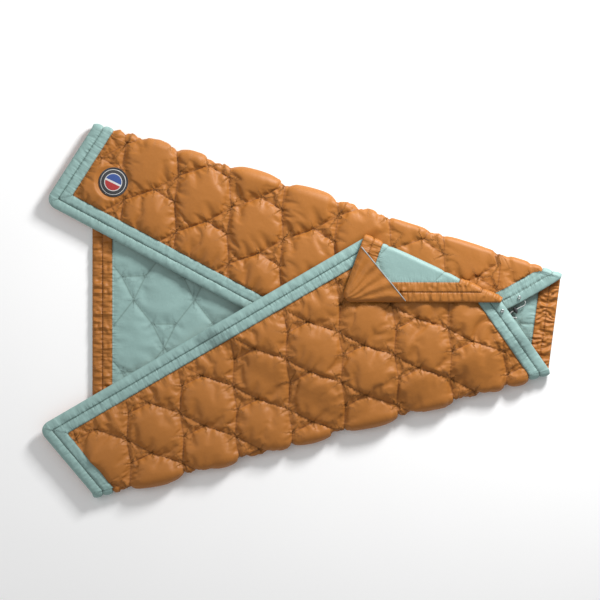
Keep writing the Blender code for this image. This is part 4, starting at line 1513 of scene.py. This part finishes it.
def seat_patch(quilt, outer, centre):
    """Flattens the shell where the patch is sewn on."""
    sizes = quilt.sizes
    flap = slice(quilt.first_flap, None)
    away = np.linalg.norm(outer[:, flap, :2] - centre, axis=-1)
    share = smooth((sizes.patch + 0.014 - away) / 0.014)
    level = sizes.pitch + sizes.loft / 2
    seat = level + patch_dome(sizes, np.minimum(away, sizes.patch))
    outer[:, flap, 2] = outer[:, flap, 2] * (1 - share) + seat * share


class BLANKET_OT_patch(bpy.types.Operator):
    """Build the round woven patch and its merrowed edge"""
    bl_idname = "blanket.patch"
    bl_label = "Patch"

    def execute(self, context):
        sizes, colours = settings(context)
        centre = patch_place()
        level = sizes.pitch + sizes.loft / 2
        place = (*centre, level)
        inner = sizes.patch - sizes.patch_rim
        radii = np.linspace(0, inner, 14)
        top = [(radius, patch_dome(sizes, radius) + 0.0015) for radius in radii]
        under = [(radius, patch_dome(sizes, radius) + 0.0003) for radius in radii[::-1]]
        disc = turned("woven_patch", [*top, *under], place, 72)
        disc.data.materials.append(patch_finish(centre, sizes, colours))
        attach(disc, "left_flap")
        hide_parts("patch")
        middle = sizes.patch - sizes.patch_rim / 2
        ring = [(middle + sizes.patch_rim / 2 * math.cos(angle),
                 patch_dome(sizes, middle) + 0.0010 + 0.0012 * math.sin(angle))
                for angle in np.linspace(0, math.tau, 13)]
        rim = turned("merrowed_edge", ring, place, 144)
        rim.data.materials.append(merrow_finish(centre, tuple(colours.patch_edge)))
        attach(rim, "left_flap")
        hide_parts("patch_rim")
        return {"FINISHED"}


class BLANKET_OT_stage(bpy.types.Operator):
    """Set the floor, the soft lights and the camera above the blanket"""
    bl_idname = "blanket.stage"
    bl_label = "Stage"

    def execute(self, context):
        mesh = grid_mesh("floor", 8, 8, 20.0)
        floor = new_object("floor", mesh)
        white = Finish("floor_paper", Base_Color=(0.93, 0.93, 0.93), Roughness=0.9)
        mottle = white.noise(white.place(), 3.0)
        white.feed("Base Color", white.mix(mottle, (0.97, 0.97, 0.97), (0.99, 0.99, 0.99)))
        mesh.materials.append(white.material)
        world = bpy.data.worlds.new("studio")
        context.scene.world = world
        world.use_nodes = True
        world.node_tree.nodes["Background"].inputs[0].default_value = (1, 1, 1, 1)
        world.node_tree.nodes["Background"].inputs[1].default_value = 0.40
        context.scene.view_settings.view_transform = "Standard"
        for name, place, size, power in (("key", (1.4, 2.1, 1.45), 0.7, 116),
                                         ("fill", (-2.4, 0.6, 3.0), 2.5, 22)):
            lamp = bpy.data.lights.new(name, "AREA")
            lamp.size = size
            lamp.energy = power
            light = bpy.data.objects.new(name, lamp)
            light.location = place
            light.rotation_euler = Vector(place).to_track_quat("Z", "Y").to_euler()
            context.scene.collection.objects.link(light)
        eye = bpy.data.cameras.new("camera")
        eye.lens = 200
        eye.sensor_width = 36
        camera = bpy.data.objects.new("camera", eye)
        camera.location = (-0.0096, 0.0315, VIEW_WIDTH * eye.lens / eye.sensor_width + 0.03)
        context.scene.collection.objects.link(camera)
        context.scene.camera = camera
        return {"FINISHED"}


class BLANKET_PT_panel(bpy.types.Panel):
    """Steps that build the blanket's looks"""
    bl_idname = "BLANKET_PT_panel"
    bl_label = "Camp Blanket"
    bl_space_type = "VIEW_3D"
    bl_region_type = "UI"
    bl_category = "Camp Blanket"

    def draw(self, context):
        for step in STEPS:
            self.layout.operator(step.bl_idname)
        for owner in settings(context):
            for name in owner.bl_rna.properties.keys():
                if name not in {"rna_type", "name"}:
                    self.layout.prop(owner, name)


STEPS = (BLANKET_OT_stage, BLANKET_OT_left_quilt, BLANKET_OT_right_quilt, BLANKET_OT_lapel,
         BLANKET_OT_pocket, BLANKET_OT_cord, BLANKET_OT_patch)
CLASSES = (QuiltSizes, FabricColours, *STEPS, BLANKET_PT_panel)


def register():
    for cls in CLASSES:
        bpy.utils.register_class(cls)
    bpy.types.Scene.blanket_sizes = bpy.props.PointerProperty(type=QuiltSizes)
    bpy.types.Scene.blanket_colours = bpy.props.PointerProperty(type=FabricColours)


def unregister():
    del bpy.types.Scene.blanket_sizes
    del bpy.types.Scene.blanket_colours
    for cls in reversed(CLASSES):
        bpy.utils.unregister_class(cls)


def main():
    register()
    for step in STEPS:
        group, name = step.bl_idname.split(".")
        getattr(getattr(bpy.ops, group), name)()


if __name__ == "__main__":
    main()
